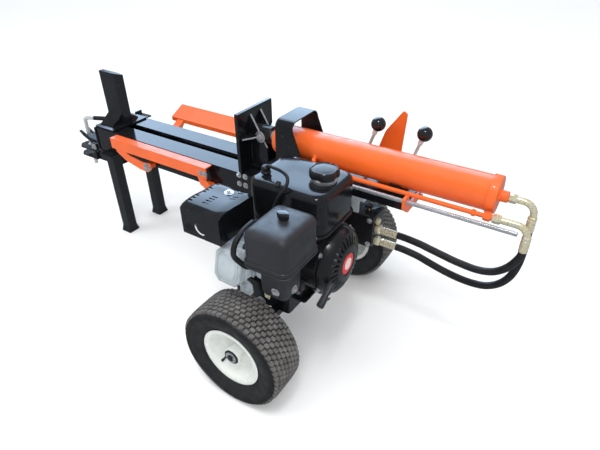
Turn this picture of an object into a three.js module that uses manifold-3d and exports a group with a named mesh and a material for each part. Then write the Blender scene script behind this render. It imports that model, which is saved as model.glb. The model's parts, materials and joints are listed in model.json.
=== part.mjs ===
// Towable petrol log splitter: slotted beam with fixed wedge, hydraulic ram and
// pusher, small single-cylinder engine with pump, two wheels and two front legs.
//
// Millimetres, +Z up. While the pieces are built, x = 0 is the wheel axle with +X
// towards the cylinder's rear port, y = 0 is the beam's middle plane with +Y away
// from the engine, and z = 0 is the ground. The last lines move the whole machine
// so that the origin is the bottom centre of everything but the two free hoses.

import * as THREE from 'three';
import { mergeVertices } from 'three/addons/utils/BufferGeometryUtils.js';
import Module from 'manifold-3d';

const kernel = await Module();
kernel.setup();

// ---------------------------------------------------------------- driving sizes

const GAP = 0.3;                  // clearance between faces that touch

const TYRE_RADIUS = 162.5;        // 13 x 5.00-6 turf tyre
const TYRE_WIDTH = 124;
const RIM_RADIUS = 94;
const NEAR_WHEEL_Y = -470;
const FAR_WHEEL_Y = 194;
const AXLE_Z = TYRE_RADIUS;
const AXLE_SIDE = 26;
const SPINDLE_RADIUS = 10;
const WHEEL_SEGMENTS = 24;
const RAM_SEGMENTS = 24;

const BEAM_TOP = 460;
const BEAM_DEPTH = 90;
const BEAM_HALF = 88;
const SLOT_HALF = 16;
const BEAM_WALL = 6;
const BEAM_FRONT = -1000;
const BEAM_REAR = 60;
const BEAM_BOTTOM = BEAM_TOP - BEAM_DEPTH;

const WEDGE_REAR = -1008;
const WEDGE_EDGE = -884;
const WEDGE_TOP = 662;
const WEDGE_THICK = 20;

const CYLINDER_Z = 575.6;         // centre line of the ram
const CYLINDER_RADIUS = 47.7;
const BORE_RADIUS = 40;
const CYLINDER_FRONT = -178;
const CYLINDER_REAR = 500;
const RAM_RADIUS = 16;

const SUPPORT_TOP = 510;
const SUPPORT_HALF = 50;
const SUPPORT_FRONT = -188;
const SUPPORT_REAR = 280;

const PUSHER_FACE = -282;
const PUSHER_HALF = 90;
const PUSHER_TOP = 660;
const PUSHER_THICK = 12;

const CRANK_Y = -217;
const CRANK_Z = 370;
const ENGINE_BASE = 262;
const ENGINE_TILT = 15;           // degrees that the engine's barrel rises from level
const FAN_RADIUS = 104;

// -------------------------------------------------------------------- materials

const finish = (color, roughness, metalness) =>
  new THREE.MeshStandardMaterial({ color, roughness, metalness });

const ORANGE = finish(0xe8561a, 0.35, 0.1);
const BLACK = finish(0x0e0f12, 0.25, 0.2);
const ENGINE_BLACK = finish(0x17181b, 0.4, 0.2);
const PLASTIC = finish(0x2a2b2f, 0.6, 0);
const RUBBER = finish(0x1a1a1a, 0.85, 0);
const CREAM = finish(0xe8e6df, 0.4, 0.1);
const STEEL = finish(0xa8abb0, 0.3, 0.9);
const CHROME = finish(0xd5d8dc, 0.1, 1);
const ALUMINIUM = finish(0xb4bcc0, 0.45, 0.8);
const ZINC = finish(0xb9a66a, 0.35, 0.9);

// ------------------------------------------------------------- geometry helpers

// One closed indexed mesh: seam vertices merged, zero-area triangles dropped,
// and the faces turned outwards if the profile ran the other way round.
function weld(geometry) {
  const bare = geometry.clone();
  bare.deleteAttribute('normal');
  bare.deleteAttribute('uv');
  const merged = mergeVertices(bare, 1e-4);
  const source = merged.index.array;
  const position = merged.attributes.position;
  const triangles = [];
  let volume = 0;
  const [a, b, c] = [new THREE.Vector3(), new THREE.Vector3(), new THREE.Vector3()];
  for (let i = 0; i < source.length; i += 3) {
    const [p, q, r] = [source[i], source[i + 1], source[i + 2]];
    if (p === q || q === r || r === p) continue;
    triangles.push(p, q, r);
    a.fromBufferAttribute(position, p);
    b.fromBufferAttribute(position, q);
    c.fromBufferAttribute(position, r);
    volume += a.dot(b.cross(c));
  }
  if (volume < 0) triangles.reverse();
  merged.setIndex(triangles);
  return merged;
}

function toSolid(geometry) {
  const mesh = weld(geometry);
  return new kernel.Manifold(new kernel.Mesh({
    numProp: 3,
    vertProperties: new Float32Array(mesh.attributes.position.array),
    triVerts: new Uint32Array(mesh.index.array),
  }));
}

function toGeometry(solid) {
  const mesh = solid.getMesh();
  const geometry = new THREE.BufferGeometry();
  geometry.setAttribute('position', new THREE.BufferAttribute(mesh.vertProperties, 3));
  geometry.setIndex(new THREE.BufferAttribute(mesh.triVerts, 1));
  return geometry;
}

function join(...pieces) {
  return toGeometry(pieces.map(toSolid).reduce((whole, piece) => whole.add(piece)));
}

function cut(piece, ...tools) {
  return toGeometry(tools.map(toSolid).reduce((left, tool) => left.subtract(tool), toSolid(piece)));
}

function block(x0, x1, y0, y1, z0, z1) {
  const geometry = new THREE.BoxGeometry(x1 - x0, y1 - y0, z1 - z0);
  return geometry.translate((x0 + x1) / 2, (y0 + y1) / 2, (z0 + z1) / 2);
}

// Turns a geometry built along +Y so that it runs along the named axis.
function aim(geometry, axis) {
  if (axis === 'x') return geometry.rotateZ(-Math.PI / 2);
  if (axis === 'z') return geometry.rotateX(Math.PI / 2);
  return geometry;
}

// A rod along an axis from one coordinate to another; [a, b] are the other two
// coordinates in X, Y, Z order.
function rod(axis, radius, from, to, a, b, sides = 24) {
  const geometry = new THREE.CylinderGeometry(radius, radius, to - from, sides);
  const middle = (from + to) / 2;
  aim(geometry, axis);
  if (axis === 'x') return geometry.translate(middle, a, b);
  if (axis === 'y') return geometry.translate(a, middle, b);
  return geometry.translate(a, b, middle);
}

// A turned piece: profile points are [radius, distance along the axis].
function turned(axis, profile, segments = 32) {
  const points = profile.map(([radius, along]) => new THREE.Vector2(radius, along));
  return weld(aim(new THREE.LatheGeometry(points, segments), axis));
}

// A closed outline whose corners are rounded by one radius.
function outline(points, radius = 0) {
  const shape = new THREE.Shape();
  const corners = points.map(([a, b]) => new THREE.Vector2(a, b));
  corners.forEach((corner, i) => {
    if (radius === 0) {
      if (i === 0) shape.moveTo(corner.x, corner.y);
      else shape.lineTo(corner.x, corner.y);
      return;
    }
    const before = corners[(i + corners.length - 1) % corners.length];
    const after = corners[(i + 1) % corners.length];
    const start = corner.clone().add(before.clone().sub(corner).setLength(radius));
    const end = corner.clone().add(after.clone().sub(corner).setLength(radius));
    if (i === 0) shape.moveTo(start.x, start.y);
    else shape.lineTo(start.x, start.y);
    shape.quadraticCurveTo(corner.x, corner.y, end.x, end.y);
  });
  shape.closePath();
  return shape;
}

const rectangle = (a0, a1, b0, b1) => [[a0, b0], [a1, b0], [a1, b1], [a0, b1]];

// Extrudes a shape drawn in the plane across an axis: (y, z) for x, (x, z) for y
// and (x, y) for z.
function prism(axis, shape, from, to, options = {}) {
  const { bevel = 0, bevelSteps = 2, curve = 3 } = options;
  const geometry = new THREE.ExtrudeGeometry(shape, {
    depth: to - from - 2 * bevel,
    curveSegments: curve,
    bevelEnabled: bevel > 0,
    bevelSize: bevel,
    bevelOffset: -bevel,
    bevelThickness: bevel,
    bevelSegments: bevelSteps,
  });
  geometry.translate(0, 0, bevel);
  const turn = new THREE.Matrix4();
  if (axis === 'x') turn.set(0, 0, 1, from, 1, 0, 0, 0, 0, 1, 0, 0, 0, 0, 0, 1);
  if (axis === 'y') turn.set(1, 0, 0, 0, 0, 0, -1, to, 0, 1, 0, 0, 0, 0, 0, 1);
  if (axis === 'z') turn.makeTranslation(0, 0, from);
  return geometry.applyMatrix4(turn);
}

// A round bar or hose bent along a smooth curve through the points. A full arc is
// divided into twice its curveSegments, so the number of sides is even.
function bentRod(points, radius, sides = 10, steps = 24, tension = 0.5) {
  const circle = new THREE.Shape();
  circle.absarc(0, 0, radius, 0, Math.PI * 2, false);
  const path = new THREE.CatmullRomCurve3(
    points.map((point) => new THREE.Vector3(...point)), false, 'catmullrom', tension);
  return new THREE.ExtrudeGeometry(circle, {
    steps, curveSegments: sides / 2, bevelEnabled: false, extrudePath: path });
}

const machine = new THREE.Group();

function part(name, geometry, material, parent = machine) {
  const mesh = new THREE.Mesh(weld(geometry), material);
  mesh.name = name;
  parent.add(mesh);
  return mesh;
}

// ------------------------------------------------------------------ beam, wedge

// One of the two channels: its web faces out and its flanges reach in to the slot.
function beamChannel(side) {
  const section = [
    [SLOT_HALF, BEAM_TOP], [BEAM_HALF, BEAM_TOP], [BEAM_HALF, BEAM_BOTTOM],
    [SLOT_HALF * 2, BEAM_BOTTOM], [SLOT_HALF * 2, BEAM_BOTTOM + BEAM_WALL],
    [BEAM_HALF - BEAM_WALL, BEAM_BOTTOM + BEAM_WALL],
    [BEAM_HALF - BEAM_WALL, BEAM_TOP - BEAM_WALL], [SLOT_HALF, BEAM_TOP - BEAM_WALL],
  ].map(([y, z]) => [side * y, z]);
  return prism('x', outline(section), BEAM_FRONT, BEAM_REAR);
}
part('beam_channel_near', beamChannel(-1), BLACK);

// The far channel carries a small welded clip beside the wedge.
const CLIP = { x0: -972, x1: -912, reach: 120, low: 424, lip: 472 };
const CLIP_TOP = BEAM_TOP - 1;
part('beam_channel_far', join(
  beamChannel(1),
  block(CLIP.x0, CLIP.x1, BEAM_HALF - 1, BEAM_HALF + 5, CLIP.low, CLIP_TOP),
  block(CLIP.x0, CLIP.x1, BEAM_HALF - 1, CLIP.reach, CLIP_TOP - 6, CLIP_TOP),
  block(CLIP.x0, CLIP.x0 + 6, BEAM_HALF - 1, CLIP.reach, CLIP_TOP - 6, CLIP.lip)), BLACK);

// The blade is an upright plate ground to a knife edge, with a foot plate and a
// sloping spreader on each side of its root.
const GRIND_LENGTH = 42;
const WEDGE_PLATE_HALF = 84;
function wedgeBlade() {
  const half = WEDGE_THICK / 2;
  const grind = WEDGE_EDGE - GRIND_LENGTH;
  const section = [
    [WEDGE_REAR, -half], [grind, -half], [WEDGE_EDGE, -1], [WEDGE_EDGE, 1],
    [grind, half], [WEDGE_REAR, half],
  ];
  const foot = BEAM_TOP + GAP;
  const blade = prism('z', outline(section), foot, WEDGE_TOP);
  const base = rectangle(WEDGE_REAR, WEDGE_EDGE - 14, -WEDGE_PLATE_HALF, WEDGE_PLATE_HALF);
  const plate = prism('z', outline(base, 6), foot, foot + 6);
  const spreaders = [-1, 1].map((side) => prism('x', outline([
    [side * 4, foot + 4], [side * 64, foot + 4], [side * 64, foot + 9], [side * 4, foot + 52],
  ]), WEDGE_REAR + 12, grind));
  return join(blade, plate, ...spreaders);
}
part('wedge', wedgeBlade(), BLACK);

// --------------------------------------------------------------- legs and axle

const LEG_X = -934;
const LEG_Y = 86;
const LEG_HALF = 20;
const FLANGE_HALF = 34;
function leg(side) {
  const y = side * LEG_Y;
  const top = BEAM_BOTTOM - GAP;
  const tube = block(LEG_X - LEG_HALF, LEG_X + LEG_HALF, y - LEG_HALF, y + LEG_HALF, 10, top);
  const foot = new THREE.CylinderGeometry(28.5, 36, 26, 4, 1)
    .rotateY(Math.PI / 4).rotateX(Math.PI / 2).translate(LEG_X, y, 13);
  const inner = y - side * LEG_HALF;
  const outer = y + side * FLANGE_HALF;
  const flange = block(
    LEG_X - FLANGE_HALF, LEG_X + FLANGE_HALF,
    Math.min(inner, outer), Math.max(inner, outer), top - 8, top);
  return join(tube, foot, flange);
}
part('leg_near', leg(-1), BLACK);
part('leg_far', leg(1), BLACK);

const AXLE_TOP = AXLE_Z + AXLE_SIDE / 2;
function axleFrame() {
  const near = NEAR_WHEEL_Y + TYRE_WIDTH / 2 + 14;
  const far = FAR_WHEEL_Y - TYRE_WIDTH / 2 - 14;
  const half = AXLE_SIDE / 2;
  const bar = block(-half, half, near, far, AXLE_Z - half, AXLE_TOP);
  const spindle = rod('y', SPINDLE_RADIUS, NEAR_WHEEL_Y - 50, FAR_WHEEL_Y + 50, 0, AXLE_Z, 20);
  const post = block(-45, 45, -58, 58, AXLE_TOP - 6, BEAM_BOTTOM - GAP);
  const opening = block(-46, 46, -50, 50, AXLE_TOP + 6, BEAM_BOTTOM - 8);
  return join(cut(post, opening), bar, spindle);
}
part('axle_frame', axleFrame(), BLACK);

// ----------------------------------------------------------------------- wheels

function tyre() {
  const half = TYRE_WIDTH / 2;
  const bead = RIM_RADIUS - 10 + GAP;
  const profile = [
    [bead, -40], [bead + 14, -44], [128, -half], [152, -56], [TYRE_RADIUS, -30],
    [TYRE_RADIUS, 30], [152, 56], [128, half], [bead + 14, 44], [bead, 40],
    [bead + 18, 34], [146, 38], [146, -38], [bead + 18, -34], [bead, -40],
  ];
  return turned('y', profile, WHEEL_SEGMENTS);
}

function rim(outboard) {
  const bore = SPINDLE_RADIUS + GAP;
  const profile = [
    [bore, -42], [26, -42], [26, -12], [60, -20], [76, -47.5], [RIM_RADIUS, -49],
    [RIM_RADIUS, -46.5], [RIM_RADIUS - 10, -45], [RIM_RADIUS - 10, 45], [RIM_RADIUS, 46.5],
    [RIM_RADIUS, 49], [80, 48], [79, -12], [32, 4], [26, 44], [bore, 44], [bore, -42],
  ].map(([radius, along]) => [radius, along * outboard]);
  return turned('y', profile, WHEEL_SEGMENTS);
}

for (const [name, y, outboard] of [['near', NEAR_WHEEL_Y, 1], ['far', FAR_WHEEL_Y, -1]]) {
  part(`tyre_${name}`, tyre(), RUBBER).position.set(0, y, AXLE_Z);
  part(`rim_${name}`, rim(outboard), CREAM).position.set(0, y, AXLE_Z);
}

// ------------------------------------------------------- cylinder and its mounts

const SADDLE_CENTRES = [-60, 235];
function supportBeam() {
  const low = BEAM_TOP + GAP;
  const rail = prism('y', outline([
    [SUPPORT_FRONT, low], [BEAM_REAR, low], [BEAM_REAR + 14, 478], [SUPPORT_REAR, 478],
    [SUPPORT_REAR, SUPPORT_TOP], [SUPPORT_FRONT, SUPPORT_TOP],
  ]), -SUPPORT_HALF, SUPPORT_HALF);
  const wall = 7;
  const trough = block(
    SUPPORT_FRONT - 1, SUPPORT_REAR + 1, -SUPPORT_HALF + wall, SUPPORT_HALF - wall,
    low - 1, SUPPORT_TOP - wall);
  const barrel = rod('x', CYLINDER_RADIUS + GAP, -400, 600, 0, CYLINDER_Z, RAM_SEGMENTS);
  const saddles = SADDLE_CENTRES.map((x) => block(x - 16, x + 16, -44, 44, SUPPORT_TOP - 2, 545));
  return cut(join(cut(rail, trough), ...saddles), barrel);
}
part('cylinder_support', supportBeam(), BLACK);

function cylinderBarrel() {
  const body = turned('x', [
    [BORE_RADIUS, CYLINDER_FRONT + 34], [CYLINDER_RADIUS, CYLINDER_FRONT + 34],
    [CYLINDER_RADIUS, CYLINDER_REAR - 22], [CYLINDER_RADIUS + 3, CYLINDER_REAR - 20],
    [CYLINDER_RADIUS + 3, CYLINDER_REAR - 3], [CYLINDER_RADIUS, CYLINDER_REAR],
    [15, CYLINDER_REAR], [15, CYLINDER_REAR + 22], [8, CYLINDER_REAR + 22],
    [8, CYLINDER_REAR - 14], [BORE_RADIUS, CYLINDER_REAR - 14], [BORE_RADIUS, CYLINDER_FRONT + 34],
  ], RAM_SEGMENTS);
  return body.translate(0, 0, CYLINDER_Z);
}
part('cylinder_barrel', cylinderBarrel(), ORANGE);

const GLAND_BACK = CYLINDER_FRONT + 34 - GAP;
part('cylinder_gland', turned('x', [
  [RAM_RADIUS + GAP, CYLINDER_FRONT], [38, CYLINDER_FRONT], [CYLINDER_RADIUS, CYLINDER_FRONT + 4],
  [CYLINDER_RADIUS, GLAND_BACK], [RAM_RADIUS + GAP, GLAND_BACK], [RAM_RADIUS + GAP, CYLINDER_FRONT],
], RAM_SEGMENTS).translate(0, 0, CYLINDER_Z), ORANGE);

// Inverted U of sheet steel over the front of the cylinder; its sides widen
// towards the rear and stand on the support rail.
const GUARD_TOP = 667;
const GUARD_HALF = 74;
const GUARD_WALL = 4;
const GUARD_FRONT = -142;
const GUARD_REAR = -30;
function cylinderGuard() {
  const foot = SUPPORT_TOP + GAP;
  const inside = GUARD_HALF - GUARD_WALL;
  const outer = rectangle(-GUARD_HALF, GUARD_HALF, foot, GUARD_TOP);
  const inner = rectangle(-inside, inside, foot - 1, GUARD_TOP - GUARD_WALL);
  const arch = cut(
    prism('x', outline(outer, 22), GUARD_FRONT, GUARD_REAR),
    prism('x', outline(inner, 20), GUARD_FRONT - 1, GUARD_REAR + 1),
    block(-200, 0, -80, 80, foot - 30, foot + 22));
  const slope = prism('y', outline([
    [-84, GUARD_TOP + 12], [-20, 500], [0, 500], [0, GUARD_TOP + 12],
  ]), -90, 90);
  const tabs = [-1, 1].map((side) => {
    const [low, high] = side < 0 ? [-GUARD_HALF, -44] : [44, GUARD_HALF];
    const [wallLow, wallHigh] = side < 0 ? [-GUARD_HALF, -inside] : [inside, GUARD_HALF];
    return join(
      block(GUARD_FRONT + 1, -48, low, high, foot, foot + GUARD_WALL),
      block(GUARD_FRONT + 1, -48, wallLow, wallHigh, foot, foot + 24));
  });
  return join(cut(arch, slope), ...tabs);
}
part('cylinder_guard', cylinderGuard(), BLACK);

// ---------------------------------------------------------------- ram and pusher

const HUB_REAR = -196;
const PISTON_REAR = CYLINDER_REAR - 16;
part('piston_rod', join(
  rod('x', RAM_RADIUS, HUB_REAR - 40, PISTON_REAR - 20, 0, CYLINDER_Z, RAM_SEGMENTS),
  rod('x', BORE_RADIUS - GAP, PISTON_REAR - 42, PISTON_REAR, 0, CYLINDER_Z, RAM_SEGMENTS)), CHROME);

function pusher() {
  const low = BEAM_TOP + 2;
  const back = PUSHER_FACE + PUSHER_THICK;
  const face = rectangle(-PUSHER_HALF, PUSHER_HALF, low, PUSHER_TOP);
  const plate = prism('x', outline(face, 3), PUSHER_FACE, back);
  const base = block(back - 2, HUB_REAR - 4, -40, 40, low, low + 12);
  const hub = rod('x', 30, back - 2, HUB_REAR - 6, 0, CYLINDER_Z, RAM_SEGMENTS);
  const rib = outline([
    [back - 2, low + 2], [HUB_REAR - 8, low + 2], [HUB_REAR - 12, 540], [back - 2, 648],
  ]);
  const ribs = [-26, 26].map((y) => prism('y', rib, y - 4, y + 4));
  const braces = [-1, 1].map((side) => prism('z', outline([
    [back - 2, 0], [back - 2, side * 82], [back + 4, side * 82], [HUB_REAR - 26, side * 12],
    [HUB_REAR - 26, 0],
  ]), CYLINDER_Z - 4, CYLINDER_Z + 4));
  const seat = rod('x', RAM_RADIUS + GAP, HUB_REAR - 40 - GAP, HUB_REAR, 0, CYLINDER_Z, RAM_SEGMENTS);
  return cut(join(plate, base, hub, ...ribs, ...braces), seat);
}
part('pusher_plate', pusher(), BLACK);

// Runs in the beam's slot, with a wide foot under the flanges that holds the
// pusher down.
const GUIDE_TOP = BEAM_TOP + 2 - GAP;
const GUIDE_RUN = 1;
const GUIDE_HALF = SLOT_HALF - GUIDE_RUN;
const FLANGE_UNDERSIDE = BEAM_TOP - BEAM_WALL;
part('pusher_guide', join(
  block(PUSHER_FACE + 4, HUB_REAR - 6, -GUIDE_HALF, GUIDE_HALF, FLANGE_UNDERSIDE - 12, GUIDE_TOP),
  block(PUSHER_FACE + 4, HUB_REAR - 6, -44, 44, FLANGE_UNDERSIDE - 14, FLANGE_UNDERSIDE - 2)), STEEL);

// ------------------------------------------------------- stop rod and hydraulics

const STOP_ROD_Y = -82;
const STOP_ROD_Z = 529;
const STOP_ROD_RADIUS = 6;
const STOP_ROD_FRONT = -120;
const STOP_ROD_REAR = 572;
part('stop_rod', rod(
  'x', STOP_ROD_RADIUS, STOP_ROD_FRONT, STOP_ROD_REAR, STOP_ROD_Y, STOP_ROD_Z, 12), STEEL);

function rodGuideBracket() {
  const x0 = SUPPORT_REAR + GAP;
  const plate = prism('x', outline([
    [-96, 512], [-62, 484], [46, 484], [46, 508], [-50, 508], [-69, 544], [-96, 544],
  ], 5), x0, x0 + 8);
  return cut(plate, rod('x', STOP_ROD_RADIUS + 1, x0 - 1, x0 + 9, STOP_ROD_Y, STOP_ROD_Z, 16));
}
part('rod_guide_bracket', rodGuideBracket(), ORANGE);

// Hard pipe from the front of the cylinder along its near side to the rear hose.
const PIPE_Y = -58;
const PIPE_Z = 540;
const PIPE_END = 504;
part('hard_pipe', join(
  bentRod([
    [-20, -47.9, CYLINDER_Z - 12], [-18, -56, CYLINDER_Z - 16], [-8, -60, CYLINDER_Z - 30],
    [20, PIPE_Y, PIPE_Z + 2], [60, PIPE_Y, PIPE_Z], [260, PIPE_Y, PIPE_Z], [480, PIPE_Y, PIPE_Z],
    [PIPE_END - 10, PIPE_Y, PIPE_Z],
  ], 6.5, 8, 22, 0.4),
  rod('x', 11, PIPE_END - 22, PIPE_END - 4, PIPE_Y, PIPE_Z, 6),
  rod('x', 8, PIPE_END - 6, PIPE_END, PIPE_Y, PIPE_Z, 12)), ORANGE);

// A zinc-plated elbow: hexagon, bend from +X to straight down, and the hose's
// crimped ferrule.
function elbow(x, y, z, reach, drop) {
  return join(
    rod('x', 11.5, x, x + 20, y, z, 6),
    bentRod([
      [x + 16, y, z], [x + 24, y, z], [x + reach - 10, y, z - 3], [x + reach, y, z - 16],
      [x + reach, y, z - 28], [x + reach, y, z - drop + 24],
    ], 9, 8, 12),
    rod('z', 12, z - drop, z - drop + 36, x + reach, y, 14));
}
const REAR_PORT_X = CYLINDER_REAR + 22 + GAP;
const REAR_REACH = 66;
const REAR_DROP = 80;
const PIPE_REACH = 88;
const PIPE_DROP = 70;
part('elbow_rear', elbow(REAR_PORT_X, 0, CYLINDER_Z, REAR_REACH, REAR_DROP), ZINC);
part('elbow_pipe', elbow(PIPE_END + GAP, PIPE_Y, PIPE_Z, PIPE_REACH, PIPE_DROP), ZINC);

const VALVE_X0 = 78;
const VALVE_X1 = 186;
const VALVE_PORT_Y = -30;
const UPPER_PORT_Z = 377;
const LOWER_PORT_Z = 335;
const HOSE_END_LENGTH = 70;
const VALVE_LOW = 316;
const VALVE_HIGH = 424;
const SPOOL_X = 128;
const SPOOL_Z = 380;
const SPOOL_RADIUS = 8;
function valveBody() {
  const body = prism('y', outline(rectangle(VALVE_X0, VALVE_X1, VALVE_LOW, VALVE_HIGH), 6), -52, 26);
  const spoolBore = rod('y', SPOOL_RADIUS + GAP, -20, 30, SPOOL_X, SPOOL_Z, 16);
  const relief = rod('z', 12, 400, 440, 152, -12, 6);
  return cut(join(body, relief), spoolBore);
}
part('valve_body', valveBody(), ENGINE_BLACK);

function hoseEnd(z) {
  const x = VALVE_X1 + GAP;
  return join(
    rod('x', 13, x, x + 18, VALVE_PORT_Y, z, 6),
    rod('x', 9, x + 16, x + 34, VALVE_PORT_Y, z, 12),
    rod('x', 12, x + 30, x + HOSE_END_LENGTH, VALVE_PORT_Y, z, 14));
}
part('hose_end_upper', hoseEnd(UPPER_PORT_Z), ZINC);
part('hose_end_lower', hoseEnd(LOWER_PORT_Z), ZINC);

// Free hoses, in long low bows from the valve's ferrules to the two elbows: the
// upper one to the hard pipe, the lower one to the cylinder's rear port.
const HOSE_RADIUS = 10.5;
const HOSE_START_X = VALVE_X1 + HOSE_END_LENGTH + 2 * GAP;
const upperHosePath = [
  [HOSE_START_X, -30, 377], [276, -30, 377], [300, -32, 377], [332, -34, 375], [362, -36, 371],
  [394, -38, 367], [426, -40, 363], [458, -42, 361], [488, -44, 361], [516, -46, 366],
  [541, -49, 378], [561, -51, 396], [576, -54, 418], [587, -56, 442], [592, -58, 458],
  [PIPE_END + GAP + PIPE_REACH, PIPE_Y, PIPE_Z - PIPE_DROP - GAP],
];
const lowerHosePath = [
  [HOSE_START_X, -30, 335], [276, -30, 335], [298, -29, 332], [328, -26, 325], [362, -24, 314],
  [396, -22, 304], [430, -20, 296], [462, -19, 292], [494, -17, 291], [522, -15, 295],
  [548, -12, 308], [568, -10, 330], [581, -8, 358], [588, -6, 392], [590, -4, 426],
  [589, -1, 462], [588.6, 0, 480],
  [REAR_PORT_X + REAR_REACH, 0, CYLINDER_Z - REAR_DROP - GAP],
];
const hoses = [
  part('hose_upper', bentRod(upperHosePath, HOSE_RADIUS, 8, 24), RUBBER),
  part('hose_lower', bentRod(lowerHosePath, HOSE_RADIUS, 8, 24), RUBBER),
];

// --------------------------------------------------------- valve mount, controls

part('valve_bracket', join(
  block(VALVE_X0, 150, -50, 42, 466, 478 - GAP),
  block(VALVE_X0, VALVE_X0 + 10, -50, 42, VALVE_HIGH + GAP, 470),
  block(VALVE_X0, 134, -50, -42, VALVE_HIGH + GAP, 470)), ALUMINIUM);

const LEVER_Y = 102;
const LEVER_PIVOT_Z = 504;
const LEVER_PIN_RADIUS = 5;
const LEVER_LENGTH = 150;
const KNOB_RADIUS = 22;
const SHELF_TOP = 487;
const LEVERS = { left: { x: 62, tilt: 18.5 }, right: { x: 208, tilt: 17.5 } };
function leverBracket() {
  const wall = SUPPORT_HALF + GAP;
  const shelf = block(36, 244, wall, 132, SHELF_TOP - 5, SHELF_TOP);
  const back = block(36, 244, wall, wall + 5, SHELF_TOP - 7, 509);
  const posts = Object.values(LEVERS).flatMap(({ x }) => [
    block(x - 14, x + 14, LEVER_Y - 16, LEVER_Y - 11, SHELF_TOP - 2, 518),
    block(x - 14, x + 14, LEVER_Y + 11, LEVER_Y + 16, SHELF_TOP - 2, 518)]);
  const pivots = Object.values(LEVERS).map(({ x }) => rod(
    'y', LEVER_PIN_RADIUS, LEVER_Y - 20, LEVER_Y + 20, x, LEVER_PIVOT_Z, 12));
  return join(shelf, back, ...posts, ...pivots);
}
part('lever_bracket', leverBracket(), BLACK);

part('lever_fin', prism('y', outline([
  [102, SHELF_TOP + GAP], [176, SHELF_TOP + GAP], [180, 560], [187, 684], [174, 692],
  [124, 620], [106, 564],
], 6), 126, 131), ORANGE);

function controlLever() {
  const eye = rod('y', 12, -9, 9, 0, 0, 16);
  const stem = rod('z', 5, 8, LEVER_LENGTH - 10, 0, 0, 12);
  const collar = rod('z', 8, LEVER_LENGTH - 38, LEVER_LENGTH - 12, 0, 0, 12);
  const knob = new THREE.SphereGeometry(KNOB_RADIUS, 12, 6)
    .rotateX(Math.PI / 2).translate(0, 0, LEVER_LENGTH);
  const pinHole = rod('y', LEVER_PIN_RADIUS + GAP, -12, 12, 0, 0, 16);
  return cut(join(eye, stem, collar, knob), pinHole);
}
for (const [name, { x, tilt }] of Object.entries(LEVERS)) {
  const lever = part(`control_lever_${name}`, controlLever(), CHROME);
  lever.position.set(x, LEVER_Y, LEVER_PIVOT_Z);
  lever.rotation.y = THREE.MathUtils.degToRad(tilt);
}

part('valve_spool', join(
  rod('y', SPOOL_RADIUS, -14, 62, SPOOL_X, SPOOL_Z, 16),
  rod('y', 12, 44, 56, SPOOL_X, SPOOL_Z, 16)), STEEL);

// --------------------------------------------------------------------- log trays

function nearTray() {
  const angle = prism('x', outline([
    [-89, 458], [-122, 458], [-122, 417], [-118, 417], [-118, 454], [-89, 454],
  ]), -876, -400);
  const strap = prism('y', outline([
    [-872, 440], [-858, 404], [-815, 378], [-740, 360], [-700, 358], [-678, 376], [-680, 398],
    [-720, 394], [-790, 404], [-838, 440],
  ], 6), -118.2, -114);
  const strut = prism('y', outline([
    [-452, 440], [-436, 384], [-392, 372], [-386, 388], [-412, 412], [-416, 440],
  ], 5), -118.2, -114);
  const lugs = [-700, -410].map((x) => block(x - 14, x + 14, -116, -BEAM_HALF - GAP, 374, 390));
  return join(angle, strap, strut, ...lugs);
}
part('log_tray_near', nearTray(), ORANGE);

const FAR_STRUTS = [-745, -390];
function farTray() {
  const plate = prism('x', outline([
    [127, 480], [186, 509], [190, 504], [187.5, 500], [131, 472], [127, 462], [122, 462], [122, 478],
  ]), -792, -342);
  const struts = FAR_STRUTS.map((x) => prism('x', outline([
    [BEAM_HALF + GAP, 428], [98, 428], [130, 468], [124, 474], [BEAM_HALF + GAP, 456],
  ]), x - 16, x + 16));
  const feet = FAR_STRUTS.map((x) => block(x - 16, x + 16, BEAM_HALF + GAP, BEAM_HALF + 6, 400, 450));
  return join(plate, ...struts, ...feet);
}
part('log_tray_far', farTray(), ORANGE);

// ------------------------------------------------------------------------- hitch

const PIN_X = -1195;
const PIN_RADIUS = 8;
const PIN_COLLAR_RADIUS = 13;
const PIN_LOW = 218;
const CLEVIS_FRONT = -1246;
const CLEVIS_BACK = -1130;
const CLEVIS_LOW = 262;
const LATCH_X = -1124;
const LATCH_Z = 327;
const CLEVIS_HIGH = 306;
const END_PLATE_BACK = BEAM_FRONT - GAP;
const END_PLATE_FRONT = END_PLATE_BACK - 8;
function hitchClevis() {
  const endPlate = prism('x', outline([
    [-92, BEAM_TOP], [-92, BEAM_BOTTOM], [-40, CLEVIS_LOW], [40, CLEVIS_LOW], [92, BEAM_BOTTOM],
    [92, BEAM_TOP],
  ]), END_PLATE_FRONT, END_PLATE_BACK);
  const tongue = block(CLEVIS_BACK - 4, END_PLATE_FRONT + 2, -22, 22, CLEVIS_LOW, CLEVIS_HIGH);
  const nose = [[CLEVIS_BACK, -32], [CLEVIS_BACK, 32], [-1226, 32], [CLEVIS_FRONT, 14],
    [CLEVIS_FRONT, -14], [-1226, -32]];
  const lower = prism('z', outline(nose), CLEVIS_LOW, CLEVIS_LOW + 8);
  const upper = prism('z', outline(nose), CLEVIS_HIGH - 8, CLEVIS_HIGH);
  const web = block(CLEVIS_BACK - 10, CLEVIS_BACK, -32, 32, CLEVIS_LOW, CLEVIS_HIGH);
  const ears = [-1, 1].map((side) =>
    block(-1139, LATCH_X + 12, side * 27 - 3, side * 27 + 3, CLEVIS_HIGH - 6, LATCH_Z + 12));
  const pivot = rod('y', 6, -36, 36, LATCH_X, LATCH_Z, 12);
  return cut(join(endPlate, tongue, lower, upper, web, ...ears, pivot),
    rod('z', PIN_RADIUS + GAP, 250, 340, PIN_X, 0, 16));
}
part('hitch_clevis', hitchClevis(), BLACK);

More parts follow.
